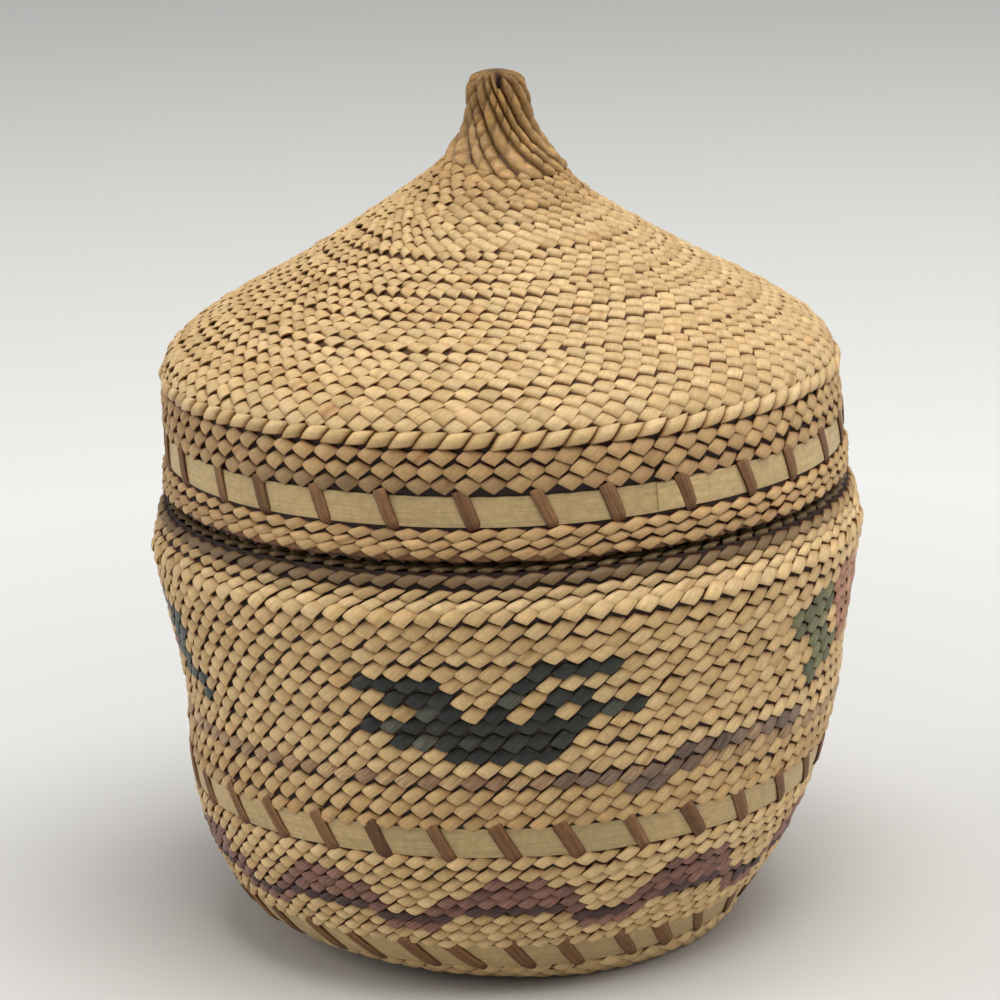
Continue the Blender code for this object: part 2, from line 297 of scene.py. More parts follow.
@dataclass
class Surface:
    """Vertices and quads of a piece, with the strand's own map and colour at each vertex.

    Attributes:
        points: x, y and z per vertex.
        quads: four vertex numbers per face, listed so that the face looks outwards.
        strand: millimetres along and across the strand, per vertex.
        tint: linear colour per vertex.
    """

    points: Array
    quads: Array
    strand: Array
    tint: Array

    @staticmethod
    def joined(parts: Sequence["Surface"]) -> "Surface":
        """One surface made of several, with the vertex numbers carried on.

        Args:
            parts: the surfaces.

        Returns:
            Their union.
        """
        starts = np.cumsum([0] + [len(p.points) for p in parts[:-1]])
        return Surface(
            np.concatenate([p.points for p in parts]),
            np.concatenate([p.quads + start for p, start in zip(parts, starts)]),
            np.concatenate([p.strand for p in parts]),
            np.concatenate([p.tint for p in parts]),
        )

    @staticmethod
    def grid(
        points: Array, strand: Array, tint: Array, wrap: tuple[bool, bool], capped: bool = False
    ) -> "Surface":
        """A surface from a grid of points, closed round on itself where it wraps.

        A face's normal is the cross product of the first direction and the second.

        Args:
            points: rows by columns by three.
            strand: rows by columns by two.
            tint: rows by columns by three.
            wrap: whether the rows and the columns close round.
            capped: whether quads across the first and the last row close both ends.

        Returns:
            The surface.
        """
        quads = grid_quads(*points.shape[:2], wrap, capped)
        return Surface(points.reshape(-1, 3), quads, strand.reshape(-1, 2), tint.reshape(-1, 3))


def grid_quads(rows: int, columns: int, wrap: tuple[bool, bool], capped: bool) -> Array:
    """Faces of a grid of points.

    Args:
        rows: how many rows of points there are.
        columns: how many points each has, an even number where the ends are capped.
        wrap: whether the rows and the columns close round.
        capped: whether quads across the first and the last row close both ends.

    Returns:
        Vertex numbers, four to a face.
    """
    i, j = np.meshgrid(
        np.arange(rows if wrap[0] else rows - 1),
        np.arange(columns if wrap[1] else columns - 1),
        indexing="ij",
    )
    i, j = i.ravel(), j.ravel()
    down, right = (i + 1) % rows, (j + 1) % columns
    corners = [i * columns + j, down * columns + j, down * columns + right, i * columns + right]
    quads = np.stack(corners, axis=1)
    if not capped:
        return quads
    k = np.arange(columns // 2 - 1)
    cap = np.stack([k, k + 1, columns - 2 - k, columns - 1 - k], 1)
    return np.concatenate([quads, cap, cap[:, ::-1] + (rows - 1) * columns])


@dataclass(frozen=True)
class BladeForm:
    """The form of one length of flat strand, from one end to the other and across.

    A blade is a row of closed rings. The height of its top is the ring's share of the rise, less
    crown * b^2 and less tilt * b, with b from -1 at its right edge to 1 at its left one. A place
    a along it lies at a * (1 - flare * b), so that its right edge is the longer one.

    Attributes:
        rings: for each ring its place along the blade, where 1 is its hidden end, and its
            share of the rise, of the width to the left, of the width to the right and of the
            painted brightness: painted shade towards the hidden end, painted highlight where it is
            over 1. Sides that bulge at different places give the strand an S shape.
        across: places across the top of each ring, and the share of the painted brightness
        there: painted shade at the edges, painted highlight where it is over 1.
        crown: how far both edges lie under the middle.
        tilt: how far the left edge lies under the middle, and the right one over it.
        flare: how much longer the right edge is than the middle, and the left one shorter.
        thickness: of the blade's edge.
    """

    rings: tuple[tuple[float, float, float, float, float], ...] = (
        (-1.02, 0.76, 1.10, 1.06, 0.96),
        (-0.78, 0.97, 1.25, 1.06, 1.09),
        (-0.38, 1.00, 1.28, 1.11, 1.07),
        (0.08, 0.95, 1.18, 1.19, 1.00),
        (0.50, 0.76, 1.05, 1.23, 0.90),
        (0.82, 0.48, 0.97, 1.19, 0.72),
        (0.93, 0.28, 0.94, 1.13, 0.14),
        (1.14, -0.12, 0.84, 0.92, 0.0),
    )
    across: tuple[tuple[float, float], ...] = (
        (-1.0, 0.48),
        (-0.90, 0.88),
        (-0.2, 0.99),
        (0.5, 1.06),
        (0.90, 1.00),
        (1.0, 0.38),
    )
    crown: float = 0.22 * MM
    tilt: float = 0.08 * MM
    flare: float = 0.08
    thickness: float = 0.26 * MM

    def ring(self) -> tuple[Array, Array, Array]:
        """Places across, depths under the top and painted brightness of the points of one closed
        ring.

        Returns:
            Arrays of b, of the depth and of the brightness, first for the top and then for the
            underside.
        """
        top, light = np.array(self.across).T
        under = np.array([top[-1], top[0]]) * 0.96
        sink = np.concatenate([np.zeros(len(top)), np.full(2, self.thickness)])
        # the underside is given a painted shade of 0.3
        return np.concatenate([top, under]), sink, np.concatenate([light, np.full(2, 0.3)])


# These forms' brightness columns paint shade towards hidden ends and edges, and highlight where
# they are over 1.
BEAD = BladeForm(
    rings=(
        (-1.06, 0.34, 0.98, 1.00, 0.42),
        (-0.90, 0.72, 1.12, 1.02, 0.96),
        (-0.48, 0.98, 1.18, 1.06, 1.07),
        (0.00, 1.00, 1.14, 1.12, 1.03),
        (0.48, 0.84, 1.04, 1.17, 0.95),
        (0.84, 0.50, 0.96, 1.12, 0.74),
        (1.08, 0.02, 0.84, 0.98, 0.10),
    ),
    across=((-1.0, 0.55), (-0.90, 0.95), (-0.2, 1.0), (0.5, 1.03), (0.90, 1.0), (1.0, 0.50)),
    crown=0.18 * MM,
    tilt=0.08 * MM,
)
ROPE_BEAD = BladeForm(
    rings=(
        (-1.08, 0.02, 0.98, 0.98, 0.22),
        (-0.88, 0.62, 1.05, 1.00, 0.90),
        (-0.35, 0.96, 1.08, 1.04, 1.05),
        (0.30, 0.97, 1.05, 1.08, 1.04),
        (0.86, 0.60, 1.00, 1.05, 0.86),
        (1.08, 0.00, 0.96, 0.98, 0.18),
    ),
    across=((-1.0, 0.80), (-0.75, 0.98), (-0.15, 1.02), (0.5, 1.02), (0.86, 0.95), (1.0, 0.70)),
    crown=0.15 * MM,
    tilt=0.06 * MM,
    flare=0.0,
)
CORD = BladeForm(
    rings=(
        (-1.04, 0.10, 0.94, 0.94, 0.12),
        (-0.92, 0.62, 0.98, 0.98, 0.72),
        (-0.60, 0.95, 1.00, 1.00, 1.04),
        (0.10, 1.00, 1.03, 1.03, 1.05),
        (0.65, 0.93, 1.00, 1.00, 0.98),
        (0.92, 0.62, 0.98, 0.98, 0.66),
        (1.04, 0.10, 0.94, 0.94, 0.12),
    ),
    across=((-1.0, 0.30), (-0.80, 0.84), (-0.2, 0.94), (0.45, 1.07), (0.85, 1.02), (1.0, 0.70)),
    crown=0.34 * MM,
    tilt=0.0,
    thickness=0.35 * MM,
    flare=0.0,
)
COARSE = BladeForm(
    rings=(
        (-1.1, 0.1, 1.15, 1.15, 0.5),
        (-0.5, 0.9, 1.35, 1.35, 1.0),
        (0.4, 0.9, 1.35, 1.35, 1.0),
        (1.1, 0.1, 1.15, 1.15, 0.4),
    ),
    across=((-1.0, 0.8), (-0.4, 1.0), (0.5, 1.0), (1.0, 0.5)),
    flare=0.0,
)
BAR = BladeForm(
    rings=(
        (-1.15, -0.30, 0.85, 0.85, 0.2),
        (-0.93, 0.45, 0.95, 0.95, 0.6),
        (-0.60, 0.92, 1.00, 1.00, 1.0),
        (0.00, 1.00, 1.02, 1.02, 1.0),
        (0.50, 0.98, 1.02, 1.02, 1.0),
        (0.86, 0.98, 1.06, 1.10, 1.05),
        (0.99, 0.80, 0.96, 1.02, 1.30),
    ),
    across=((-1.0, 0.6), (-0.75, 1.12), (-0.25, 0.92), (0.3, 1.05), (0.8, 0.9), (1.0, 0.4)),
    crown=0.22 * MM,
    tilt=0.0,
    thickness=0.35 * MM,
    flare=0.0,
)


@dataclass
class Blades:
    """Many lengths of strand, each with its own place, told by arrays with one entry each.

    Attributes:
        place, around, upward, outward: the middle of each blade and the wall's directions there.
        bend: curvature of the wall round the Z axis, seen along outward.
        axis: half the blade's length as a vector round the wall and up it.
        side: half the blade's width as such a vector, to the left of its length.
        lift: height of its ends over the wall's face.
        rise: height of its middle over its ends.
        groove, groove_at: depth and place across of a fold along it.
        tint: linear colour.
        offset: where its part of the strand's own map starts.
    """

    place: Array
    around: Array
    upward: Array
    outward: Array
    bend: Array
    axis: Array
    side: Array
    lift: Array
    rise: Array
    groove: Array
    groove_at: Array
    tint: Array
    offset: Array

    def select(self, chosen: Array) -> "Blades":
        """The blades for which chosen is true."""
        return Blades(**{name: value[chosen] for name, value in vars(self).items()})

    def surface(self, form: BladeForm) -> Surface:
        """The blades' closed surfaces.

        A ring of points goes round the blade at each place along it, with the ends closed by
        quads across the ring. Points are place + x * around + y * upward + z * outward, where
        z loses x^2 * bend / 2, so that a blade follows the round of the wall. Sides and ends
        are darkened towards a painted shade between the stitches, and turn browner on the way by
        the exponents in BROWNING, which take more green than red and more blue than green.
        Brightness over 1 is a painted highlight.

        Args:
            form: how each blade is formed.

        Returns:
            One surface that holds them all.
        """
        across, sink, edge_light = form.ring()
        places, heights, lefts, rights, shades = np.array(form.rings).T
        a, b = (v.ravel() for v in np.meshgrid(places, across, indexing="ij"))
        per_ring = (heights, lefts, rights, shades)
        height, left, right, shade = (np.repeat(v, len(across)) for v in per_ring)
        width = np.where(b > 0, left, right)
        a = a * (1 - form.flare * b)
        sink, light = np.tile(sink, len(places)), np.tile(edge_light, len(places)) * shade
        x = a * self.axis[:, :1] + width * b * self.side[:, :1]
        y = a * self.axis[:, 1:] + width * b * self.side[:, 1:]
        away = (b - self.groove_at[:, None]) / FOLD_WIDTH
        fold = self.groove[:, None] * np.exp(-(away**2)) * (sink == 0)
        z = self.lift[:, None] + height * self.rise[:, None] - fold
        z = z - form.crown * b**2 - form.tilt * b - sink - x**2 * self.bend[:, None] / 2
        points = (
            self.place[:, None]
            + x[..., None] * self.around[:, None]
            + y[..., None] * self.upward[:, None]
            + z[..., None] * self.outward[:, None]
        )
        length, breadth = np.linalg.norm(self.axis, axis=1), np.linalg.norm(self.side, axis=1)
        strand = np.stack([a * length[:, None], b * breadth[:, None]], axis=-1) / MM
        strand = strand + self.offset[:, None]
        # painted shade at the bottom of a fold
        light = light * (1 - FOLD_PAINTED_SHADE * np.clip(fold / FOLD_DEPTH, 0, 1))
        kept = np.minimum(np.maximum(light, 0), 1)[..., None]
        own = self.tint[:, None]
        gap_shade = np.minimum(linear(PAINTED_GAP_SHADE), GAP_SHADE_SHARE * own)
        # painted shade: edges and hidden ends darken towards the painted gap shade, browner as they
        # darken
        tint = own * kept**BROWNING + gap_shade * (1 - kept)
        # painted highlight where the brightness is over 1
        tint = tint * np.maximum(light, 1)[..., None]
        quads = grid_quads(len(places), len(across), (False, True), capped=True)
        shift = np.arange(len(self.place))[:, None, None] * a.size
        return Surface(
            points.reshape(-1, 3),
            (quads[None] + shift).reshape(-1, 4),
            strand.reshape(-1, 2),
            tint.reshape(-1, 3),
        )


@dataclass(frozen=True)
class StrandTints:
    """The colours that one kind of strand runs through, and how they change.

    Attributes:
        shades: screen colours from one end of the range to the other.
        spread: how far single stitches differ in brightness.
        run: stitches before a strand has changed its colour.
        odd_share: share of the stitches that are of the odd colour.
        odd: a screen colour that turns up here and there.
    """

    shades: tuple[Colour, ...]
    spread: float = 0.055
    run: int = 13
    odd_share: float = 0.012
    odd: Colour = (190, 150, 98)

    def colours(self, row: Array, share: Array, parity: Array, rng: np.random.Generator) -> Array:
        """A colour for each stitch.

        Two wefts make a course and take turns, so each course holds two random values that
        drift slowly round it, one for even stitches and one for odd ones. The value picks a
        place in the range of shades.

        Args:
            row: number of the course.
            share: how far round the course, from 0 to 1.
            parity: 0 or 1, for the weft.
            rng: where the random values come from.

        Returns:
            Linear colours, one per stitch.
        """
        knots = max(2, STITCHES_ROUND // self.run)
        values = rng.random((int(row.max()) + 1, 2, knots))
        place = share * knots
        cell = np.floor(place).astype(int) % knots
        t = place - np.floor(place)
        t = t * t * (3 - 2 * t)
        picked = values[row, parity, cell] * (1 - t) + values[row, parity, (cell + 1) % knots] * t
        table = np.array([linear(shade) for shade in self.shades])
        scale = np.linspace(0, 1, len(table)) if len(table) > 1 else np.array([0.0])
        colours = np.stack([np.interp(picked, scale, table[:, i]) for i in range(3)], axis=1)
        odd = rng.random(len(row)) < self.odd_share
        colours[odd] = (1 - ODD_SHARE) * colours[odd] + ODD_SHARE * linear(self.odd)
        return colours * (1 + self.spread * rng.standard_normal((len(row), 1)))


STRAW = StrandTints(((188, 156, 106), (202, 170, 120), (208, 178, 130), (198, 164, 114)))
# A darker straw, for the lid's upright wall, the neck and the inner faces.
DARKER_STRAW = StrandTints(((160, 128, 84), (184, 150, 102), (172, 136, 92)))
CHARCOAL = StrandTints(((27, 29, 26), (42, 44, 39), (54, 56, 49)), odd_share=0.05, odd=(92, 92, 78))
PURPLE = StrandTints(((126, 88, 76), (138, 98, 84), (112, 78, 68)), odd=(150, 114, 92))
DARK_PURPLE = StrandTints(((58, 40, 37), (78, 55, 50)), odd=(100, 74, 66))
LINE_PURPLE = StrandTints(
    ((104, 82, 68), (122, 100, 84), (88, 70, 60)), odd_share=0.15, odd=(170, 138, 100)
)
FADED_LINE = StrandTints(
    ((150, 118, 84), (166, 134, 96), (138, 106, 78)), odd_share=0.2, odd=(196, 164, 118)
)
TEAL = StrandTints(((46, 54, 50), (64, 72, 64)), odd=(88, 92, 80))
GREEN = StrandTints(((58, 60, 42), (98, 98, 62), (118, 114, 76)), odd=(132, 126, 84))
RED = StrandTints(
    ((146, 98, 72), (162, 112, 84), (150, 104, 76)), odd_share=0.1, odd=(186, 142, 102)
)
BARK = StrandTints(((106, 72, 44), (128, 92, 58), (116, 80, 50)), odd=(92, 60, 36))


@dataclass
class Lattice:
    """The stitches of some courses, told by arrays with one entry each.

    Attributes:
        row: number of the course, from the first one laid.
        column: number of the stitch in its course.
        share: how far round its course the stitch is.
        turn: angle round the Z axis.
        length: place along the wall's line.
        pitch: metres from one stitch to the next.
        spacing: metres from one course to the next.
        slide: metres by which the course below lies further round.
    """

    row: Array
    column: Array
    share: Array
    turn: Array
    length: Array
    pitch: Array
    spacing: Array
    slide: Array

    def select(self, chosen: Array) -> "Lattice":
        """The stitches for which chosen is true."""
        return Lattice(**{name: value[chosen] for name, value in vars(self).items()})


@dataclass(frozen=True)
class Chart:
    """A dyed figure as a weaver counts it.

    Attributes:
        rows: for each course the first and last stitch of each dyed span, counted from the
            figure's own first stitch.
    """

    rows: dict[int, tuple[tuple[int, int], ...]]

    def picked(self, lattice: Lattice, first: int, around: int) -> Array:
        """Which stitches of a wall belong to the figure.

        Args:
            lattice: the wall's stitches.
            first: the stitch in the wall at which the figure starts.
            around: stitches in one course.

        Returns:
            True for each stitch that does.
        """
        column = np.mod(lattice.column - first, around)
        chosen = np.zeros(len(column), bool)
        for row, spans in self.rows.items():
            for start, end in spans:
                chosen |= (lattice.row == row) & (column >= start) & (column <= end)
        return chosen


BIRD = Chart(
    {
        11: ((9, 12),),
        10: ((1, 4), (8, 8)),
        9: ((2, 4), (7, 7), (9, 10)),
        8: ((3, 4), (6, 6), (8, 8), (10, 12)),
        7: ((0, 9),),
        6: ((1, 8),),
        5: ((3, 7),),
    }
)
SIDE_WINGS = Chart(
    {
        12: ((2, 3), (9, 10)),
        11: ((0, 3), (9, 12)),
        10: ((0, 2), (10, 12)),
        9: ((1, 2), (10, 11)),
        8: ((1, 3), (9, 11)),
        7: ((0, 2), (10, 12)),
        6: ((0, 0), (12, 12)),
    }
)
SIDE_HEART = Chart({13: ((5, 7),)} | {row: ((4, 8),) for row in range(12, 7, -1)})
STRONG_LINE = Chart({4: ((6, 13),), 3: ((0, 6),), 2: ((3, 4),)})
FADED_LINE_ROW = Chart({3: ((7, 95),)})


@dataclass(frozen=True)
class Wave:
    """A dyed ribbon that swings up and down round the wall.

    Attributes:
        repeats: how often it swings.
        crest: angle round the Z axis of one crest.
        light: for each course the span of dyed stitches, as distances from a crest in repeats.
        dark: the same for the darker line in its middle.
    """

    repeats: int
    crest: float
    light: dict[int, tuple[float, float]]
    dark: dict[int, tuple[float, float]]

    def picked(self, lattice: Lattice, spans: dict[int, tuple[float, float]]) -> Array:
        """Which stitches lie in one of the ribbon's spans.

        The distance is |frac(share of a turn from the crest * repeats + 1/2) - 1/2|, which runs
        from 0 on a crest to 1/2 in a trough.

        Args:
            lattice: the wall's stitches.
            spans: light or dark.

        Returns:
            True for each stitch that does.
        """
        phase = (lattice.turn - self.crest) / math.tau * self.repeats + 0.5
        away = np.abs(np.mod(phase, 1.0) - 0.5)
        chosen = np.zeros(len(away), bool)
        for row, (near, far) in spans.items():
            chosen |= (lattice.row == row) & (away >= near) & (away < far)
        return chosen


WAVE = Wave(
    repeats=10,
    crest=math.radians(-88.5),
    light={
        7: (0.0, 0.17), 6: (0.0, 0.26), 5: (0.0, 0.33),
        4: (0.24, 0.40), 3: (0.28, 0.50), 2: (0.34, 0.50),
    },
    dark={4: (0.0, 0.24), 3: (0.33, 0.50)},
)


@dataclass(frozen=True)
class Stitching:
    """How stitches sit in their courses and how much they vary.

    Attributes:
        cover: area of a stitch without its bulging sides, as a share of its cell.
        climb: rise of a stitch's width vector as a share of the course's height.
        steep: rise of its length vector as such a share.
        overlap: length of a stitch as a share of the distance to the next one on its line.
        sink: depth of a stitch's ends under the wall's face.
        proud: height of its middle over the wall's face.
        wobble: random change of length and width, as a share.
        sway: random turn in the wall's face, in radians.
        drift: random shift, as a share of the pitch.
        groove_share: share of the stitches that have a fold.
        groove: depth of the fold.
        run: which way they lie.
    """

    cover: float = 0.785
    climb: float = 0.335
    steep: float = 0.99
    overlap: float = 0.995
    sink: float = 0.46 * MM
    proud: float = 0.16 * MM
    wobble: float = 0.045
    sway: float = 0.05
    drift: float = 0.018
    groove_share: float = 0.22
    groove: float = 0.07 * MM
    run: Run = Run.ACROSS

    def blades(
        self,
        lattice: Lattice,
        line: WallLine,
        side: Side,
        depth: float,
        tint: Array,
        rng: np.random.Generator,
    ) -> Blades:
        """The blades of a lattice's stitches.

        A stitch's length points to the next stitch up and to the right on its line, which is at
        (pitch - slide, spacing). Its width vector is chosen so that both span the wanted share
        of the cell, and the sides' bulges fill most of the rest. Stitches along the warps point
        to (-slide, spacing) instead, and those of a cord row lie level, with slanted ends.

        Args:
            lattice: where the stitches are.
            line: the wall's outline.
            side: the face that they lie on.
            depth: of that face under the outline.
            tint: linear colour per stitch.
            rng: where the random values come from.

        Returns:
            The blades.
        """
        count = len(lattice.row)
        place, around, upward, outward = line.frames(lattice.length, lattice.turn)
        bend = outward[:, 0] * np.cos(lattice.turn) + outward[:, 1] * np.sin(lattice.turn)
        bend = bend / np.maximum(line.radius(lattice.length), MM) * side.value
        place = place - outward * depth
        for way in (upward, around):
            place = place + way * (rng.normal(0, self.drift, (count, 1)) * lattice.pitch[:, None])
        pitch, spacing, slide = lattice.pitch, lattice.spacing, lattice.slide
        run = pitch - slide * side.value
        axis = np.stack([run, spacing * self.steep], axis=1) / 2 * self.overlap
        climb = self.climb * spacing
        reach = (self.cover * pitch * spacing - run * climb) / spacing
        across = np.stack([-reach, climb], axis=1) / 2
        if self.run is Run.ALONG:
            axis = np.stack([-slide * side.value, spacing], axis=1) / 2 * self.overlap
            across = np.stack([-pitch * self.cover, np.zeros(count)], axis=1) / 2
        if self.run is Run.LEVEL:
            axis = np.stack([pitch, 0.16 * spacing], axis=1) / 2 * self.overlap
            across = np.stack([0.75 * spacing, spacing], axis=1) / 2 * self.cover
        axis = axis * (1 + rng.normal(0, self.wobble, (count, 1)))
        across = across * (1 + rng.normal(0, self.wobble, (count, 1)))
        sway = rng.normal(0, self.sway, count)
        fold = np.where(rng.random(count) < self.groove_share, self.groove, 0.0)
        lift = np.full(count, -self.sink) + rng.normal(0, 0.03 * MM, count)
        return Blades(
            place=place,
            around=around * side.value,
            upward=upward,
            outward=outward * side.value,
            bend=bend,
            axis=turned(axis, sway),
            side=turned(across, sway),
            lift=lift,
            rise=(self.sink + self.proud) * (1 + rng.normal(0, 0.10, count)),
            groove=fold * rng.uniform(0.5, 1.2, count),
            groove_at=rng.uniform(-0.85, 0.75, count),
            tint=tint,
            offset=rng.uniform(0, 90, (count, 2)),
        )


FLAT_STITCHING = Stitching(proud=0.0)
CORD_STITCHING = Stitching(
    run=Run.LEVEL, overlap=1.03, cover=1.0, proud=0.42 * MM, sink=0.45 * MM,
    groove_share=0.0, sway=0.04,
)
SHOULDER_STITCHING = Stitching(
    climb=0.30, cover=0.81, overlap=1.01, proud=0.34 * MM, sink=0.50 * MM
)
BAND_STITCHING = Stitching(overlap=1.02, steep=0.86, climb=0.46, cover=0.81, proud=0.20 * MM)
CROWN_STITCHING = Stitching(climb=0.62, overlap=1.07, cover=0.96, proud=0.18 * MM, sink=0.46 * MM)
ROPE_STITCHING = Stitching(
    climb=0.90, overlap=1.08, cover=1.12, proud=0.20 * MM, sink=0.52 * MM, wobble=0.05
)
HEM_STITCHING = Stitching(
    run=Run.ALONG, cover=0.88, overlap=1.0, proud=-0.05 * MM, sink=0.3 * MM, wobble=0.12
)


def turned(vectors: Array, angles: Array) -> Array:
    """Vectors in a plane, each turned by its own angle.

    Args:
        vectors: x and y per vector.
        angles: angle per vector, anticlockwise.

    Returns:
        The turned vectors.
    """
    cos, sin = np.cos(angles), np.sin(angles)
    x, y = vectors[:, 0], vectors[:, 1]
    return np.stack([x * cos - y * sin, x * sin + y * cos], axis=1)


def rule(value: Rule | float | None) -> Rule:
    """A rule as it is, or one that always gives the number, or 0 for none."""
    return value if callable(value) else lambda _: value or 0.0


def neighbours(turns: Array) -> tuple[Array, Array]:
    """The angle before and the angle after each of a ring of ascending angles."""
    before = np.concatenate([[turns[-1] - math.tau], turns[:-1]])
    after = np.concatenate([turns[1:], [turns[0] + math.tau]])
    return before, after


def courses(
    line: WallLine,
    edges: Array,
    turns: Array,
    start: float,
    lean: Rule | float,
    rng: np.random.Generator,
    width: Rule | float | None = None,
    waver: float = 0.10 * MM,
) -> Lattice:
    """Lays courses along a wall, one stitch for each warp.

    The warps lean, so each course is turned by tan(lean) * step / radius against the last.
    Where a width is given, about one warp in six is dropped in the course in which they crowd,
    and the others even out by moving towards the middle of their neighbours.

    Args:
        line: the wall's outline.
        edges: lengths at which the courses start and end, in the order of laying.
        turns: angles of the warps at the start.
        start: length at which the warps have those angles.
        lean: the warps' lean to the left as they climb, or how it follows from the length.
        rng: where the random values come from.
        width: the usual width of a stitch, or how it follows from the radius, or none to keep
            all the warps.
        waver: how far a course strays from its level.

    Returns:
        The stitches.
    """
    found: dict[str, list[Array]] = {name: [] for name in Lattice.__dataclass_fields__}
    lean_at, width_at = rule(lean), rule(width)
    previous = start
    for row, (low, high) in enumerate(zip(edges[:-1], edges[1:])):
        level = (low + high) / 2
        radius = float(line.radius(level))
        turns = turns - math.tan(lean_at(level)) * (level - previous) / radius
        previous = level
        usual = width_at(radius)
        if width and math.tau * radius / len(turns) < CROWDED * usual:
            excess = len(turns) - round(math.tau * radius / (EASED * usual))
            step = len(turns) / excess
            dropped = (np.arange(excess) * step + rng.uniform(0, step - 1, excess)).astype(int)
            turns = np.delete(turns, dropped)
            for _ in range(EVENING_ROUNDS):
                before, after = neighbours(turns)
                turns = 0.5 * turns + 0.25 * (before + after)
        before, after = neighbours(turns)
        count = len(turns)
        waves = rng.normal(0, waver, 4) / np.array([1, 1, 1.5, 2])
        phases = rng.uniform(0, math.tau, 4)
        stray = sum(w * np.sin((n + 1) * turns + p) for n, (w, p) in enumerate(zip(waves, phases)))
        found["row"].append(np.full(count, row))
        found["column"].append(np.arange(count))
        found["share"].append(np.mod(turns / math.tau, 1.0))
        found["turn"].append(turns)
        found["length"].append(level + stray)
        found["pitch"].append((after - before) / 2 * radius)
        found["spacing"].append(np.full(count, abs(high - low)))
        found["slide"].append(np.full(count, math.tan(lean_at(level)) * abs(high - low)))
    return Lattice(**{name: np.concatenate(parts) for name, parts in found.items()})


def uneven(
    low: float,
    high: float,
    rows: int,
    unevenness: float,
    rng: np.random.Generator,
    taper: float = 0.0,
) -> Array:
    """Edges of courses of slightly different heights.

    Args:
        low: where the first one starts.
        high: where the last one ends.
        rows: how many there are.
        unevenness: random change of a course's height, as a share.
        rng: where the random values come from.
        taper: how much lower the last course is than the first, as a share.

    Returns:
        The edges, one more than the courses.
    """
    heights = (1 + rng.uniform(-unevenness, unevenness, rows)) * np.linspace(1, 1 - taper, rows)
    return low + (high - low) * np.concatenate([[0.0], np.cumsum(heights)]) / heights.sum()


class Nodes:
    """Builds a material's nodes with short calls."""

    def __init__(self, name: str) -> None:
        """Starts a material that holds only its shader and output."""
        self.material = bpy.data.materials.new(name)
        self.material.use_nodes = True
        self.tree = self.material.node_tree
        self.shader = self.tree.nodes["Principled BSDF"]

    def add(
        self, kind: str, settings: dict[str, object] | None = None, **inputs: object
    ) -> bpy.types.Node:
        """A new node.

        Args:
            kind: Blender's name of the node's type.
            settings: properties of the node.
            **inputs: socket values or links, with _ for a space in the socket's name.

        Returns:
            The node.
        """
        node = self.tree.nodes.new(kind)
        for name, value in (settings or {}).items():
            setattr(node, name, value)
        for name, value in inputs.items():
            self.put(node, name.replace("_", " "), value)
        return node

    def put(self, node: bpy.types.Node, name: str, value: object) -> None:
        """Sets a socket to a value, or links an output socket to it."""
        if isinstance(value, bpy.types.NodeSocket):
            self.tree.links.new(value, node.inputs[name])
        else:
            node.inputs[name].default_value = value

    def scaled(self, value: bpy.types.NodeSocket, low: float, high: float) -> bpy.types.NodeSocket:
        """Noise from 0.3 to 0.7, stretched to run from low to high."""
        node = self.add("ShaderNodeMapRange", Value=value)
        ends = {"From Min": 0.3, "From Max": 0.7, "To Min": low, "To Max": high}
        for name, number in ends.items():
            node.inputs[name].default_value = number
        return node.outputs["Result"]

    def multiplied(
        self, colour: bpy.types.NodeSocket, factor: bpy.types.NodeSocket
    ) -> bpy.types.NodeSocket:
        """A colour times a number."""
        node = self.add("ShaderNodeVectorMath", {"operation": "SCALE"}, Scale=factor)
        self.tree.links.new(colour, node.inputs[0])
        return node.outputs[0]


@dataclass(frozen=True)
class StrandFinish:
    """A dried strand: its own colour, fine lines along it, mottling and a dull gloss.

    Attributes:
        name: of the material.
        roughness: of the shader.
        specular: of the shader.
        lines: how much lighter and darker the lines are.
        lines_per_mm: steps of the lines' noise per millimetre across the strand.
        mottle: how much lighter and darker the patches are.
        relief: height of the lines.
        lines_drawn: such steps along it. Fewer of them make longer lines.
    """

    name: str
    roughness: float = 0.52
    specular: float = 0.35
    lines: float = 0.16
    lines_per_mm: float = 5.5
    mottle: float = 0.12
    relief: float = 0.03 * MM
    lines_drawn: float = 0.25

    def material(self) -> bpy.types.Material:
        """Makes the material, once.

        Returns:
            The tint attribute times two noises, one drawn out along the strand by its own map
            and one in Object coordinates, with the drawn-out one as relief as well.
        """
        known = bpy.data.materials.get(self.name)
        if known:
            return known
        nodes = Nodes(self.name)
        tint = nodes.add("ShaderNodeAttribute", {"attribute_name": "tint"})
        strand = nodes.add("ShaderNodeUVMap", {"uv_map": "strand"})
        scale = (self.lines_drawn, self.lines_per_mm, 1.0)
        drawn = nodes.add("ShaderNodeMapping", Vector=strand.outputs["UV"], Scale=scale)
        noise = "ShaderNodeTexNoise"
        grain = nodes.add(
            noise, Vector=drawn.outputs["Vector"], Scale=1.0, Detail=3.0, Roughness=0.65
        )
        place = nodes.add("ShaderNodeTexCoord")
        patches = nodes.add(
            noise, Vector=place.outputs["Object"], Scale=PATCH_SCALE, Detail=3.0, Roughness=0.6
        )
        lines = nodes.scaled(grain.outputs["Fac"], 1 - self.lines, 1 + self.lines)
        mottle = nodes.scaled(patches.outputs["Fac"], 1 - self.mottle, 1 + self.mottle)
        colour = nodes.multiplied(tint.outputs["Color"], lines)
        colour = nodes.multiplied(colour, mottle)
        bump = nodes.add(
            "ShaderNodeBump", Height=grain.outputs["Fac"], Strength=1.0, Distance=self.relief
        )
        nodes.put(nodes.shader, "Base Color", colour)
        nodes.put(nodes.shader, "Normal", bump.outputs["Normal"])
        nodes.put(nodes.shader, "Roughness", self.roughness)
        nodes.put(nodes.shader, "Specular IOR Level", self.specular)
        return nodes.material


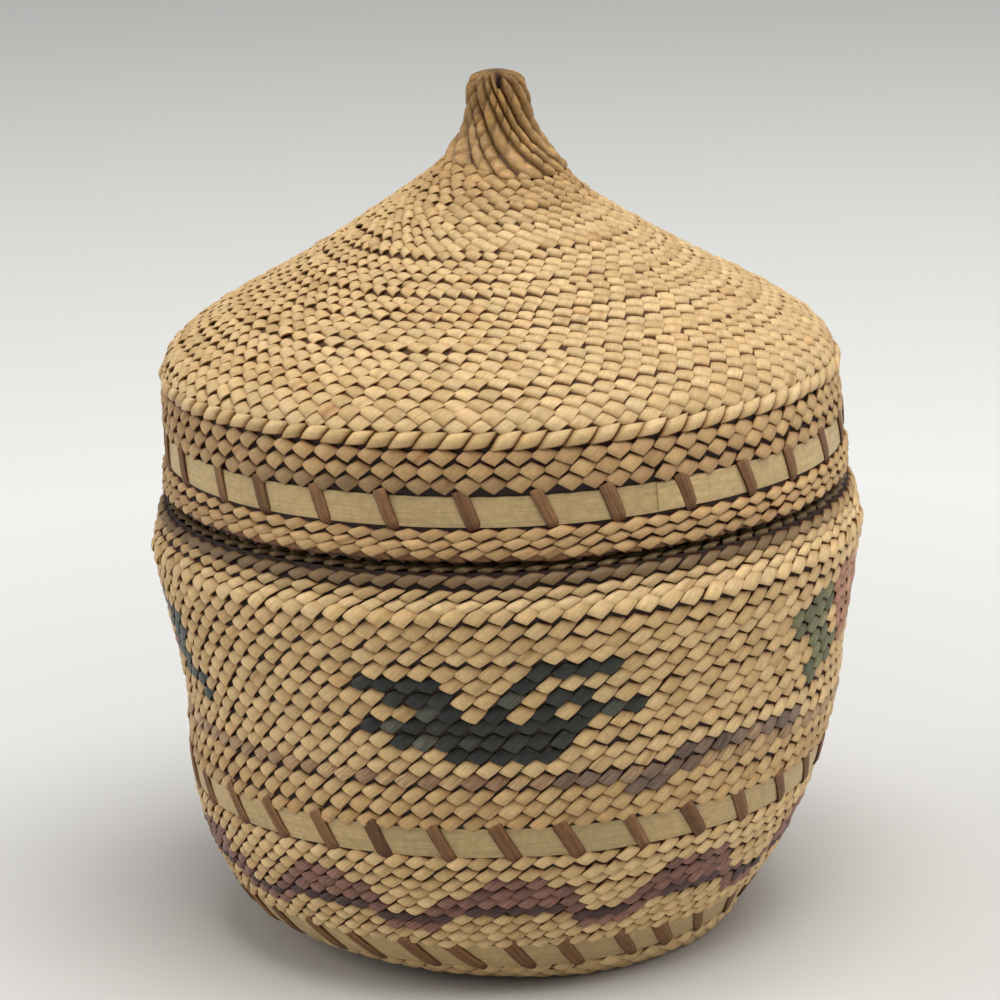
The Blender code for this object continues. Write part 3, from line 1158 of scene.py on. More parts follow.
GRASS_FINISH = StrandFinish("Dried grass weft")
STRIP_FINISH = StrandFinish(
    "Flat grass strip", roughness=0.42, lines=0.19, lines_per_mm=7.0, lines_drawn=0.12
)
BARK_FINISH = StrandFinish(
    "Cedar bark", roughness=0.62, lines=0.42, lines_per_mm=6.0, relief=0.08 * MM
)
CORD_FINISH = StrandFinish("Grass cord", roughness=0.48)
KNOB_FINISH = StrandFinish("Gathered golden grass", lines_per_mm=5.0, mottle=0.20)
DYED_FINISH = StrandFinish(
    "Dyed grass weft", roughness=0.42, lines=0.62, lines_per_mm=6.5, relief=0.04 * MM
)
SETTLING = Settling()


def linked(name: str, data: bpy.types.ID) -> bpy.types.Object:
    """A new object in the scene that shows some data."""
    made = bpy.data.objects.new(name, data)
    bpy.context.scene.collection.objects.link(made)
    return made


def add_piece(
    name: str,
    surface: Surface,
    finish: StrandFinish,
    body: Body,
    replaced: Sequence[str] = (),
) -> None:
    """Puts a surface into the scene as a piece that rides on a body.

    Args:
        name: of the piece.
        surface: its form before the weaving settled.
        finish: what it is made of.
        body: what it moves with.
        replaced: the CAD nodes that it stands for.
    """
    mesh = bpy.data.meshes.new(name)
    points = SETTLING.moved(surface.points)
    count = len(surface.quads)
    mesh.vertices.add(len(points))
    mesh.vertices.foreach_set("co", points.astype(np.float32).ravel())
    mesh.loops.add(count * 4)
    mesh.loops.foreach_set("vertex_index", surface.quads.astype(np.int32).ravel())
    mesh.polygons.add(count)
    mesh.polygons.foreach_set("loop_start", np.arange(0, count * 4, 4, dtype=np.int32))
    mesh.update(calc_edges=True)
    strand = mesh.uv_layers.new(name="strand")
    strand.data.foreach_set("uv", surface.strand[surface.quads.ravel()].astype(np.float32).ravel())
    tint = mesh.attributes.new("tint", "FLOAT_COLOR", "POINT")
    rgba = np.concatenate([np.clip(surface.tint, 0, 1), np.ones((len(points), 1))], axis=1)
    tint.data.foreach_set("color", rgba.astype(np.float32).ravel())
    mesh.shade_smooth()
    mesh.set_sharp_from_angle(angle=CRISP)
    mesh.materials.append(finish.material())
    piece = linked(name, mesh)
    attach(piece, body.value)
    if replaced:
        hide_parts(*replaced)
    LOG.info("%s: %d faces", name, count)


def shell(
    line: WallLine,
    low: float,
    high: float,
    depths: tuple[float, float],
    shade: Colour,
    steps: int = 192,
) -> Surface:
    """The closed layer of warps inside a wall, from one length along it to another.

    Its section runs up at the outer depth and down at the inner one, turned round the Z axis.

    Args:
        line: the wall's outline.
        low: where it starts.
        high: where it ends.
        depths: of its outer and of its inner face under the outline.
        shade: screen colour.
        steps: points round it.

    Returns:
        The surface.
    """
    up = np.linspace(low, high, max(3, int((high - low) / (1.5 * MM))))
    length = np.concatenate([up, up[::-1]])
    depth = np.concatenate([np.full(len(up), depths[0]), np.full(len(up), depths[1])])
    turn = np.linspace(0, math.tau, steps, endpoint=False)
    turns, lengths = np.meshgrid(turn, length, indexing="ij")
    place, _, _, outward = line.frames(lengths, turns)
    points = place - outward * depth[None, :, None]
    strand = np.stack([lengths, turns * line.radius(lengths)], axis=-1) / MM
    tint = np.broadcast_to(linear(shade), points.shape)
    return Surface.grid(points, strand, tint, (True, True))


Dyed = dict[str, tuple[Array, StrandTints, Slot]]


@dataclass
class TwinedWall:
    """A band of plain twining: stitches outside, stitches inside and the warps between.

    Attributes:
        name: of the band.
        body: what it moves with.
        line: the wall's outline.
        lattice: its stitches.
        seed: of its random values.
        stitching: how the stitches sit.
        form: how each of them is formed.
        tints: their colours.
        depth: of the outer face under the outline.
        wall: from the outer face to the inner one.
        toning: what each stitch's colour is multiplied by, if anything.
        finish: what the plain stitches are made of.
        slot: the record's slot for them; not used.
    """

    name: str
    body: Body
    line: WallLine
    lattice: Lattice
    seed: int
    stitching: Stitching = Stitching()
    form: BladeForm = BladeForm()
    tints: StrandTints = STRAW
    depth: float = 0.0
    wall: float = 1.6 * MM
    toning: Callable[[Lattice], Array] | None = None
    finish: StrandFinish = GRASS_FINISH
    slot: Slot = Slot.WEFT

    def blades(self, side: Side) -> Blades:
        """The blades of one face.

        Args:
            side: the face.

        Returns:
            One blade per stitch of the lattice.
        """
        rng = np.random.default_rng(self.seed + (0 if side is Side.OUTSIDE else 500))
        lattice = self.lattice
        tint = self.tints.colours(lattice.row, lattice.share, lattice.column % 2, rng)
        if self.toning:
            tint = tint * self.toning(lattice)
        depth = self.depth if side is Side.OUTSIDE else self.wall
        return self.stitching.blades(lattice, self.line, side, depth, tint, rng)

    def build(self, replaced: Sequence[str] = (), dyed: Dyed | None = None) -> None:
        """Makes the face that shows, with the dyed stitches as pieces of their own.

        Args:
            replaced: the CAD nodes that the plain stitches stand for.
            dyed: for each dyed piece its name, the stitches chosen, their colours and slot.
        """
        blades = self.blades(Side.OUTSIDE)
        plain = np.ones(len(blades.place), bool)
        rng = np.random.default_rng(self.seed + 900)
        for name, (chosen, tints, dyed_slot) in (dyed or {}).items():
            chosen = chosen & plain
            part = blades.select(chosen)
            rows, shares = self.lattice.row[chosen], self.lattice.share[chosen]
            part.tint = tints.colours(rows, shares, self.lattice.column[chosen] % 2, rng)
            add_piece(name, part.surface(self.form), DYED_FINISH, self.body)
            plain &= ~chosen
        surface = blades.select(plain).surface(self.form)
        add_piece(f"{self.name}_stitches", surface, self.finish, self.body, replaced)

    def build_inside(self) -> None:
        """Makes the face that is seen when the basket is open, of coarser stitches."""
        surface = self.blades(Side.INSIDE).surface(COARSE)
        add_piece(f"{self.name}_stitches", surface, GRASS_FINISH, self.body)


def evenly(brightness: float) -> Callable[[Lattice], Array]:
    """A toning that gives every stitch the same brightness."""
    return lambda lattice: np.full((len(lattice.row), 1), brightness)


def rope_ring(
    middle: tuple[float, float], size: float, wraps: int, shades: tuple[Colour, Colour]
) -> Surface:
    """A ring of rope round the Z axis.

    A point is middle + radius * (cos b, sin b), turned round Z by a. The radius is size times
    1 + 0.2 * (|cos(wraps * a / 2 + b)| - 0.6), which gives slanted wraps with creases between.

    Args:
        middle: radius and height of the rope's own middle.
        size: half the rope's thickness.
        wraps: how many there are round the ring.
        shades: screen colours of the painted shade in the creases and of the wraps.

    Returns:
        The surface.
    """
    a, b = np.meshgrid(
        np.linspace(0, math.tau, wraps * 8, endpoint=False),
        np.linspace(0, math.tau, 16, endpoint=False),
        indexing="ij",
    )
    bulge = np.abs(np.cos(wraps * a / 2 + b))
    radius = size * (1 + 0.2 * (bulge - 0.6))
    ring = middle[0] + radius * np.cos(b)
    points = np.stack([ring * np.cos(a), ring * np.sin(a), middle[1] + radius * np.sin(b)], axis=-1)
    strand = np.stack([b * size + a * middle[0] * 0.5, a * middle[0]], axis=-1) / MM
    # painted shade in the creases between the wraps
    light = np.clip(bulge * 1.5, 0, 1)[..., None]
    tint = linear(shades[0]) * (1 - light) + linear(shades[1]) * light
    return Surface.grid(points, strand, tint, (True, True))


@dataclass(frozen=True)
class Plait:
    """A square of flat strips crossed one over, one under.

    Attributes:
        side: of the square.
        strips: how many lie each way.
        height: of the square's middle layer.
        wave: how far a strip swings up and down.
        thickness: of a strip.
    """

    side: float
    height: float
    strips: int = 8
    wave: float = 0.24 * MM
    thickness: float = 0.22 * MM

    def surface(self) -> Surface:
        """All strips, each a flat band that rises over every second one that it meets.

        Along a strip at u the middle lies at height + wave * sin(pi * u / pitch + pi * number).
        """
        rng = np.random.default_rng(5)
        pitch = self.side / self.strips
        along = np.linspace(-self.side / 2, self.side / 2, self.strips * 6 + 1)
        across = np.array([-1, -0.85, 0, 0.85, 1, 0.85, 0, -0.85])
        sink = np.array([0.5, 0.1, 0, 0.1, 0.5, 1, 1, 1]) - 0.5
        parts = []
        for number in range(self.strips * 2):
            crossing, index = divmod(number, self.strips)
            u, v = np.meshgrid(along, across, indexing="ij")
            middle = (index + 0.5) * pitch - self.side / 2
            swing = math.pi * (u / pitch + 0.5 + index + crossing)
            z = self.height + self.wave * np.sin(swing) - sink * self.thickness
            y = middle + v * pitch * 0.46
            points = np.stack([u, y, z] if crossing == 0 else [-y, u, z], axis=-1)
            strand = np.stack([u, v * pitch / 2], axis=-1) / MM + rng.uniform(0, 40, 2)
            edge = (1 - 0.4 * (np.abs(v) > 0.9))[..., None]
            shade = linear(PLAIT_SHADE) * rng.uniform(0.8, 1.2) * edge
            parts.append(Surface.grid(points, strand, shade, (False, True), capped=True))
        return Surface.joined(parts)


@dataclass(frozen=True)
class TwistedKnob:
    """The warp ends gathered into ropes of beads that wind down into the crown.

    Attributes:
        line: the lid's outline.
        low: where the knob starts on it, on average.
        ropes: how many there are.
        twist: turn round Z of a rope from foot to tip.
        bead: length of one bead along a rope.
        relief: height of a rope over the creases.
        bead_relief: height of a bead over its ends.
        foot_swing: how much lower it starts on the side where it hangs lowest.
        foot_side: angle round the Z axis of that side.
        foot_step: height of the ropes' ends over the crown.
        notch, notch_width, notch_reach: depth, half width and length of the cleft in the tip.
        notch_shift: how far right of the middle it lies.
        foot_shade, tip_shade: screen colours. crease_painted_shade, notch_painted_shade: screen
            colours of the
        painted shade in the creases and in the notch.
    """

    line: WallLine
    low: float
    ropes: int = 15
    twist: float = 1.6
    bead: float = 2.1 * MM
    relief: float = 0.62 * MM
    bead_relief: float = 0.42 * MM
    foot_swing: float = 1.8 * MM
    foot_side: float = math.radians(-25)
    foot_step: float = 0.35 * MM
    notch: float = 1.4 * MM
    notch_width: float = 0.36 * MM
    notch_reach: float = 2.0 * MM
    notch_shift: float = 0.3 * MM
    foot_shade: Colour = (172, 136, 86)
    tip_shade: Colour = (130, 96, 50)
    crease_painted_shade: Colour = (84, 56, 26)
    notch_painted_shade: Colour = (44, 30, 34)

    def foot(self, turn: Array) -> Array:
        """The length along the outline at which the knob starts, at angles round the Z axis."""
        return self.low - self.foot_swing * np.cos(turn - self.foot_side)

    def surface(self) -> Surface:
        """The ropes as one closed skin.

        With f from 0 to 1 across a rope, g along a bead and s the distance from the foot, a
        point stands (relief * (h - 1) + bead_relief * (k - 1/2)) * d + foot_step * e over the
        outline. There h = (1 - (2f - 1)^2)^0.6, k = h * (1 - (2g - 1)^4), d falls to 0 over
        the last 1.5 mm before the tip, and e rises fast with s and dies out over 2.2 mm. The
        angle of a point falls by twist from foot to tip. The cleft takes
        notch * exp(-((x - notch_shift) / notch_width)^2) off at the front of the tip.
        """
        turns = np.linspace(0, math.tau, self.ropes * 12, endpoint=False)
        u, share = np.meshgrid(turns, np.linspace(0, 1, 190), indexing="ij")
        rope = u / math.tau * self.ropes + 0.20 * np.sin(2 * u + 1.0) + 0.12 * np.sin(5 * u + 2.0)
        number, f = np.mod(np.floor(rope), self.ropes), np.mod(rope, 1.0)
        h = np.clip(1 - (2 * f - 1) ** 2, 0, 1) ** 0.6
        low = self.foot(u) + 0.6 * MM * (1 - h) + 0.25 * MM * np.sin(2.1 * number)
        v = low + share * (self.line.end - low)
        a = u - self.twist * share
        stretch = 1 + 0.26 * np.sin(2.7 * number + 0.5)
        g = np.mod(v / (self.bead * stretch) - 0.9 * f + 0.37 * number, 1.0)
        k = h * (1 - (2 * g - 1) ** 4)
        size = np.clip((self.line.end - v) / (1.5 * MM), 0, 1)
        step = (1 - np.exp(-(v - low) / (0.35 * MM))) * np.exp(-(v - low) / (2.2 * MM))
        place, _, _, outward = self.line.frames(v, a)
        lift = (self.relief * (h - 1) + self.bead_relief * (k - 0.5)) * size + self.foot_step * step
        points = place + outward * lift[..., None]
        x, height = points[..., 0], points[..., 2]
        near = np.clip((height - (height.max() - self.notch_reach)) / self.notch_reach, 0, 1)
        front = np.clip(0.5 - points[..., 1] / (2 * MM), 0, 1)
        cleft = np.exp(-(((x - self.notch_shift) / self.notch_width) ** 2))
        cleft = cleft * np.clip(near * 2.5, 0, 1) * front
        points = points - outward * (self.notch * cleft)[..., None]
        # painted shade in the creases between the ropes and between the beads
        light = np.clip(h**0.9 * (0.66 + 0.34 * k / np.maximum(h, 0.1)), 0, 1)
        light = (light * size + 0.8 * (1 - size))[..., None]
        own = linear(self.foot_shade) * (1 - share[..., None])
        own = own + linear(self.tip_shade) * share[..., None]
        mottle = 1 + 0.18 * np.sin(2.3 * number + 4.1 * np.floor(v / self.bead + 0.37 * number))
        tint = own * mottle[..., None] * light + linear(self.crease_painted_shade) * (1 - light)
        # painted shade in the notch
        dark = np.clip(1.3 * cleft, 0, 1)[..., None]
        tint = tint * (1 - dark) + linear(self.notch_painted_shade) * dark
        strand = np.stack([v, u * 4 * MM + v * 0.4], axis=-1) / MM
        skin = Surface.grid(points, strand, tint, (True, False))
        return self._closed(skin, *u.shape)

    @staticmethod
    def _closed(skin: Surface, turns: int, lengths: int) -> Surface:
        """The skin with a point in the middle of each end.

        Args:
            skin: a grid of points, turns by lengths.
            turns: points round it.
            lengths: points along it.

        Returns:
            The closed surface.
        """
        rows = np.arange(turns)
        count = len(skin.points)
        foot, tip = rows * lengths, rows * lengths + lengths - 1
        half = rows[::2]
        after = (half + 2) % turns
        fans = [
            np.stack([0 * half + count, foot[after], foot[half + 1], foot[half]], 1),
            np.stack([0 * half + count + 1, tip[half], tip[half + 1], tip[after]], 1),
        ]
        middles = np.stack([skin.points[foot].mean(0), skin.points[tip].mean(0)])
        return Surface(
            np.concatenate([skin.points, middles]),
            np.concatenate([skin.quads, *fans]),
            np.concatenate([skin.strand, skin.strand[[0, lengths - 1]]]),
            np.concatenate([skin.tint, skin.tint[[0, lengths - 1]]]),
        )


@dataclass
class StripBand:
    """A flat strip laid in the warps, and the warps that cross its face as slanted bars.

    Attributes:
        name: of the band.
        body: what it moves with.
        line: the wall's outline.
        middle: place of the strip's middle along the line.
        width: of the strip.
        bars: how many warps cross it.
        lean: of the bars from upright.
        first: angle of one bar round the Z axis.
        lap: angle at which the strip's ends lie over each other.
        seed: of its random values.
        bar_width: of a bar.
        bar_reach: how far a bar goes on past the strip's edges.
        bar_rise: how far its middle lies over the strip's.
        strip_depth: of the strip's face under the wall's.
        strip_thickness: of the strip.
        bar_sink: depth of a bar's ends under the wall's face.
        bar_height: height of its middle over its ends.
        lap_length: angle over which the ends overlap.
        lap_lift: height of the upper end over the lower, and how much its tip adds.
        lap_width, lap_light: its width and brightness as shares of the strip's.
        steps: points round the strip.
    """

    name: str
    body: Body
    line: WallLine
    middle: float
    width: float
    bars: int
    lean: float
    first: float
    lap: float
    seed: int
    bar_width: float = 1.6 * MM
    bar_reach: float = 0.50 * MM
    bar_rise: float = 0.15 * MM
    strip_depth: float = 0.25 * MM
    strip_thickness: float = 0.35 * MM
    bar_sink: float = 0.35 * MM
    bar_height: float = 0.55 * MM
    lap_length: float = math.radians(9)
    lap_lift: tuple[float, float] = (0.20 * MM, 0.12 * MM)
    lap_width: float = 0.94
    lap_light: float = 1.04
    steps: int = 360

    def strip_face(self, turn: Array, lift: Array, width: float, shade: float) -> Surface:
        """A length of strip, closed all round.

        Its section is flat with a slight crown and square edges, and it waves a little in
        and out between the bars.

        Args:
            turn: angles of its stations, one after the other.
            lift: height over the wall's face at each station.
            width: of the strip.
            shade: brightness against the usual one.

        Returns:
            The surface.
        """
        across = np.array([-1, -0.97, -0.5, 0, 0.5, 0.97, 1, 0.97, 0, -0.97])
        sink = np.array([0.5, 0.1, 0.0, 0, 0.0, 0.1, 0.5, 1.0, 1.0, 1.0]) * self.strip_thickness
        turns, v = np.meshgrid(turn, across, indexing="ij")
        rng = np.random.default_rng(self.seed)
        sway = sum(
            rng.normal(0, 0.05 * MM) * np.sin((n + 2) * turns + rng.uniform(0, math.tau))
            for n in range(5)
        )
        between = np.cos(self.bars * (turns - self.first) + math.pi)
        puff = 0.06 * MM * (1 - v**2) + 0.04 * MM * between
        lengths = self.middle + v * width / 2 + sway
        place, _, _, outward = self.line.frames(lengths, turns)
        points = place + outward * (lift[:, None] - self.strip_depth + puff - sink)[..., None]
        strand = np.stack([turns * self.line.radius(self.middle), v * width / 2], axis=-1) / MM
        # darker towards both edges of the strip
        edge_dark = 1 - 0.16 * np.clip(np.abs(v) - 0.6, 0, 1)
        tone = 1 + 0.05 * np.sin(3 * turns + self.seed) + 0.04 * np.sin(11 * turns)
        colour = linear(STRIP_SHADE) * (shade * edge_dark * tone)[..., None]
        closed = bool(abs(turn[-1] - turn[0]) > math.pi)
        return Surface.grid(points, strand, colour, (closed, True), capped=not closed)

    def build(self, strip_node: str, warps_node: str) -> None:
        """Makes the strip with its lap, and the bars.

        Args:
            strip_node: the CAD node that the strip stands for.
            warps_node: the CAD node that the bars stand for.
        """
        turn = np.linspace(0, math.tau, self.steps, endpoint=False)
        round_strip = self.strip_face(turn, np.zeros(self.steps), self.width, 1.0)
        lap_turn = np.linspace(self.lap, self.lap + self.lap_length, 24)
        lift = self.lap_lift[0] + self.lap_lift[1] * np.linspace(0, 1, len(lap_turn)) ** 3
        lap = self.strip_face(lap_turn, lift, self.width * self.lap_width, self.lap_light)
        both = Surface.joined([round_strip, lap])
        strip = f"{self.name}_flat_strip"
        add_piece(strip, both, STRIP_FINISH, self.body, [strip_node])
        bars = self.crossing_bars()
        add_piece(f"{self.name}_bars", bars, BARK_FINISH, self.body, [warps_node])

    def crossing_bars(self) -> Surface:
        """The warps that cross the strip's face, each an arched blade of bark."""
        rng = np.random.default_rng(self.seed + 40)
        turn = self.first + np.arange(self.bars) * math.tau / self.bars
        turn = turn + rng.normal(0, 0.012, self.bars)
        length = np.full(self.bars, self.middle + self.bar_rise)
        place, around, upward, outward = self.line.frames(length, turn)
        reach = self.width / 2 + self.bar_reach
        lean = self.lean + rng.normal(0, 0.05, self.bars)
        axis = np.stack([-np.tan(lean), np.ones(self.bars)], axis=1) * reach
        normal = np.stack([-np.cos(lean), -np.sin(lean)], axis=1)
        side = normal * self.bar_width / 2 * (1 + rng.normal(0, 0.08, (self.bars, 1)))
        bend = outward[:, 0] * np.cos(turn) + outward[:, 1] * np.sin(turn)
        shares = np.mod(turn / math.tau, 1.0)
        row = np.zeros(self.bars, int)
        tint = BARK.colours(row, shares, np.arange(self.bars) % 2, rng)
        blades = Blades(
            place=place,
            around=around,
            upward=upward,
            outward=outward,
            bend=bend / self.line.radius(self.middle),
            axis=axis,
            side=side,
            lift=np.full(self.bars, -self.bar_sink),
            rise=np.full(self.bars, self.bar_height) + rng.normal(0, 0.05 * MM, self.bars),
            groove=np.full(self.bars, 0.07 * MM),
            groove_at=rng.uniform(-0.4, 0.4, self.bars),
            tint=tint,
            offset=rng.uniform(0, 90, (self.bars, 2)),
        )
        return blades.surface(BAR)


BODY_PROFILE_SHARES = (
    (0.040, 0.698),
    (0.093, 0.745),
    (0.233, 0.840),
    (0.388, 0.900),
    (0.621, 0.936),
    (0.776, 0.972),
    (0.890, 0.991),
    (0.940, 0.978),
    (0.985, 0.956),
)
LID_PROFILE_SHARES = (
    (0.000, 1.000),
    (0.100, 0.993),
    (0.270, 0.980),
    (0.320, 0.962),
    (0.411, 0.833),
    (0.517, 0.605),
    (0.623, 0.400),
    (0.729, 0.221),
    (0.782, 0.163),
    (0.835, 0.118),
    (0.888, 0.094),
    (0.935, 0.088),
    (0.963, 0.080),
    (0.980, 0.062),
    (0.990, 0.036),
)


@dataclass
class BasketBody:
    """The basket itself, from the plaited start to the rim of its neck.

    Attributes:
        radius, height: of the body at its widest and up to the ledge.
        neck_radius, neck_top: of the neck, and the height of its rim.
        base_radius: of the flat underside.
        warps: how many there are.
        foot_lean, main_lean: lean of the warps to the left, below the waist and above it.
        heel_middle, heel_width: height and width of the lower strip.
        waist_middle, waist_width: height and width of the upper strip.
        cord_width: of the thick row at the shoulder.
        row_height: usual height of a course.
        stitch_width: usual width of a stitch where warps are dropped.
        corner_room: how far inner stitches keep from the corner at the ledge.
    """

    radius: float = field(default_factory=lambda: box_radius("shoulder_cord"))
    height: float = field(default_factory=lambda: box_high("shoulder_wall"))
    neck_radius: float = field(default_factory=lambda: box_radius("neck_wall"))
    neck_top: float = field(default_factory=lambda: box_high("neck_rim"))
    base_radius: float = 27.0 * MM
    warps: int = 96
    foot_lean: float = math.radians(34)
    main_lean: float = math.radians(30.5)
    heel_middle: float = 5.1 * MM
    heel_width: float = 4.4 * MM
    waist_middle: float = 22.4 * MM
    waist_width: float = 4.0 * MM
    cord_width: float = 1.9 * MM
    row_height: float = 1.8 * MM
    stitch_width: float = 2.95 * MM
    corner_room: float = 2.2 * MM

    def __post_init__(self) -> None:
        """Works out the outline and where its bands start and end."""
        foot = [(0.0, 0.0), (self.base_radius / 2, 0.0), (self.base_radius, 0.0)]
        side = [(r * self.radius, z * self.height) for z, r in BODY_PROFILE_SHARES]
        top = BODY_PROFILE_SHARES[-1][0] * self.height
        ledge = [(self.neck_radius + 1.0 * MM, top), (self.neck_radius - 0.4 * MM, top)]
        self.line = WallLine(foot + side + ledge)
        self.ledge = self.line.at_height(top - 0.50 * MM)
        self.heel = self.line.at_height(self.heel_middle)
        self.waist = self.line.at_height(self.waist_middle)
        cord_height = (box_low("shoulder_cord") + box_high("shoulder_cord")) / 2
        self.cord = self.line.at_height(cord_height)
        self.warp_turns = math.radians(-90) + np.arange(self.warps) * math.tau / self.warps

    def wall_lattice(self, low: float, high: float, rows: int, seed: int) -> Lattice:
        """Courses of a wall, whose warps run on from the bars at the waist.

        Args:
            low: where they start.
            high: where they end.
            rows: how many there are.
            seed: of the random values.

        Returns:
            The stitches.
        """
        rng = np.random.default_rng(seed)
        edges = uneven(low, high, rows, 0.06, rng)
        start = (edges[0] + edges[1]) / 2
        lean = self.main_lean if start > self.waist else self.foot_lean
        levels = np.linspace(self.waist, start, 60)
        steps = np.diff(levels) / self.line.radius((levels[1:] + levels[:-1]) / 2)
        turns = self.warp_turns - math.tan(lean) * steps.sum()
        return courses(self.line, edges, turns, start, lean, rng)

    def build(self) -> None:
        """Makes every piece of the body."""
        heel_top = self.heel + self.heel_width / 2
        waist_foot, waist_top = self.waist - self.waist_width / 2, self.waist + self.waist_width / 2
        cord_foot, cord_top = self.cord - self.cord_width / 2, self.cord + self.cord_width / 2
        self.build_base()
        self.build_lower_wall(self.wall_lattice(heel_top, waist_foot, 10, 11))
        self.build_main_wall(self.wall_lattice(waist_top, cord_foot, 15, 12))
        cord = self.wall_lattice(cord_foot, cord_top, 1, 13)
        TwinedWall(
            "shoulder_cord", Body.BASKET, self.line, cord, 13, SHOULDER_STITCHING,
            finish=CORD_FINISH, slot=Slot.CORD,
        ).build(["shoulder_cord"])
        shoulder = self.wall_lattice(cord_top, self.ledge, 3, 14)
        TwinedWall(
            "shoulder_wall", Body.BASKET, self.line, shoulder, 14, toning=self.shoulder_lid_shadow
        ).build(["shoulder_wall"])
        ledge = self.wall_lattice(self.ledge + 1.1 * MM, self.line.end, 2, 19)
        TwinedWall(
            "ledge", Body.BASKET, self.line, ledge, 19, toning=evenly(LEDGE_UNDER_LID_SHADE)
        ).build()
        self.build_neck()
        self.build_lining()
        StripBand(
            "heel", Body.BASKET, self.line, self.heel, self.heel_width, 32, math.radians(36),
            math.radians(-85), math.radians(40), 21,
        ).build("heel_strip", "heel_warps")
        StripBand(
            "waist", Body.BASKET, self.line, self.waist, self.waist_width, 32, self.foot_lean,
            math.radians(-90), math.radians(100), 22,
        ).build("waist_strip", "waist_warps")

    @staticmethod
    def shoulder_lid_shadow(lattice: Lattice) -> Array:
        """Painted shadow of the lid on the shoulder's upper rows, darkest at the front and gone at
        the right side.

        Args:
            lattice: the shoulder's stitches.

        Returns:
            A brightness per stitch.
        """
        front = np.clip(0.55 + 0.9 * np.cos(lattice.turn + math.radians(105)), 0, 1)
        # painted shadow under the lid's edge, strongest on the top course
        dimming = np.interp(lattice.row, (0, 1, 2), (0.04, 0.26, 0.74)) * front
        return (1 - dimming)[:, None] ** (0.75 + 0.25 * BROWNING)

    def build_lower_wall(self, lattice: Lattice) -> None:
        """Makes the wall between the strips, with the purple ribbon.

        Args:
            lattice: its stitches.
        """
        dyed = {
            "ribbon_dark_stitches": (WAVE.picked(lattice, WAVE.dark), DARK_PURPLE, Slot.PURPLE),
            "ribbon_stitches": (WAVE.picked(lattice, WAVE.light), PURPLE, Slot.PURPLE),
        }
        wall = TwinedWall("lower_wall", Body.BASKET, self.line, lattice, 11)
        wall.build(["lower_wall"], dyed)

    def build_main_wall(self, lattice: Lattice) -> None:
        """Makes the tall wall with its figures and the thin line under them.

        Args:
            lattice: its stitches.
        """
        count = self.warps
        birds = BIRD.picked(lattice, 93, count) | BIRD.picked(lattice, 45, count)
        dyed = {
            "bird_stitches": (birds, CHARCOAL, Slot.CHARCOAL),
            "left_wing_stitches": (SIDE_WINGS.picked(lattice, 70, count), TEAL, Slot.CHARCOAL),
            "right_wing_stitches": (SIDE_WINGS.picked(lattice, 19, count), GREEN, Slot.GREEN),
            "side_heart_stitches": (
                SIDE_HEART.picked(lattice, 70, count) | SIDE_HEART.picked(lattice, 19, count),
                RED,
                Slot.RED,
            ),
            "strong_line_stitches": (
                STRONG_LINE.picked(lattice, 4, count), LINE_PURPLE, Slot.PURPLE,
            ),
            "faded_line_stitches": (
                FADED_LINE_ROW.picked(lattice, 4, count), FADED_LINE, Slot.PURPLE,
            ),
        }
        wall = TwinedWall(
            "main_wall", Body.BASKET, self.line, lattice, 12,
            # painted shade: the wall darker than the crown, darkest in its lowest courses and
            # browner as it darkens
            toning=lambda part: np.interp(part.row, (0, 4), (0.80, 0.96))[:, None] ** BROWNING,
        )
        wall.build(["main_wall"], dyed)

    def build_base(self) -> None:
        """Makes the plaited start and the twined rounds of the base."""
        plait = box_radius("base_plait")
        middle = (box_low("base_plait") + box_high("base_plait")) / 2
        add_piece(
            "base_plait_strips",
            Plait(2 * plait, middle).surface(),
            BARK_FINISH,
            Body.BASKET,
            ["base_plait"],
        )
        rng = np.random.default_rng(15)
        high, low = self.heel - self.heel_width / 2, self.line.at_radius(plait * 1.05)
        rows = round((high - low) / self.row_height)
        edges = uneven(low, high, rows, 0.08, rng)[::-1]
        lattice = courses(
            self.line, edges, self.warp_turns, high, self.foot_lean, rng, self.stitch_width
        )
        TwinedWall(
            "base_rounds", Body.BASKET, self.line, lattice, 15, FLAT_STITCHING, depth=0.1 * MM
        ).build(["base_rounds"])

    def build_neck(self) -> None:
        """Makes the neck that the lid sits over, and its bound rim."""
        low, rim_low = self.line.line[-1, 1], box_low("neck_rim")
        size = (self.neck_top - rim_low) / 2
        heights = (low, (low + rim_low) / 2, rim_low + size)
        line = WallLine([(self.neck_radius, height) for height in heights])
        rng = np.random.default_rng(16)
        edges = uneven(0.0, line.at_height(box_high("neck_wall")), 4, 0.06, rng)
        lattice = courses(line, edges, self.warp_turns, 0.0, self.main_lean, rng)
        TwinedWall(
            "neck_wall", Body.BASKET, line, lattice, 16, FLAT_STITCHING, tints=DARKER_STRAW
        ).build(["neck_wall"])
        TwinedWall("neck_inside", Body.BASKET, line, lattice, 17, FLAT_STITCHING).build_inside()
        layer = shell(line, 0.0, line.end, (0.5 * MM, 1.1 * MM), WARPS_AND_GAP_SHADE)
        add_piece("neck_warp_layer", layer, BARK_FINISH, Body.BASKET)
        middle = (box_radius("neck_rim") - size, rim_low + size)
        ring = rope_ring(middle, size, 110, ((96, 66, 34), (204, 172, 122)))
        add_piece("neck_rim_rope", ring, CORD_FINISH, Body.BASKET, ["neck_rim"])

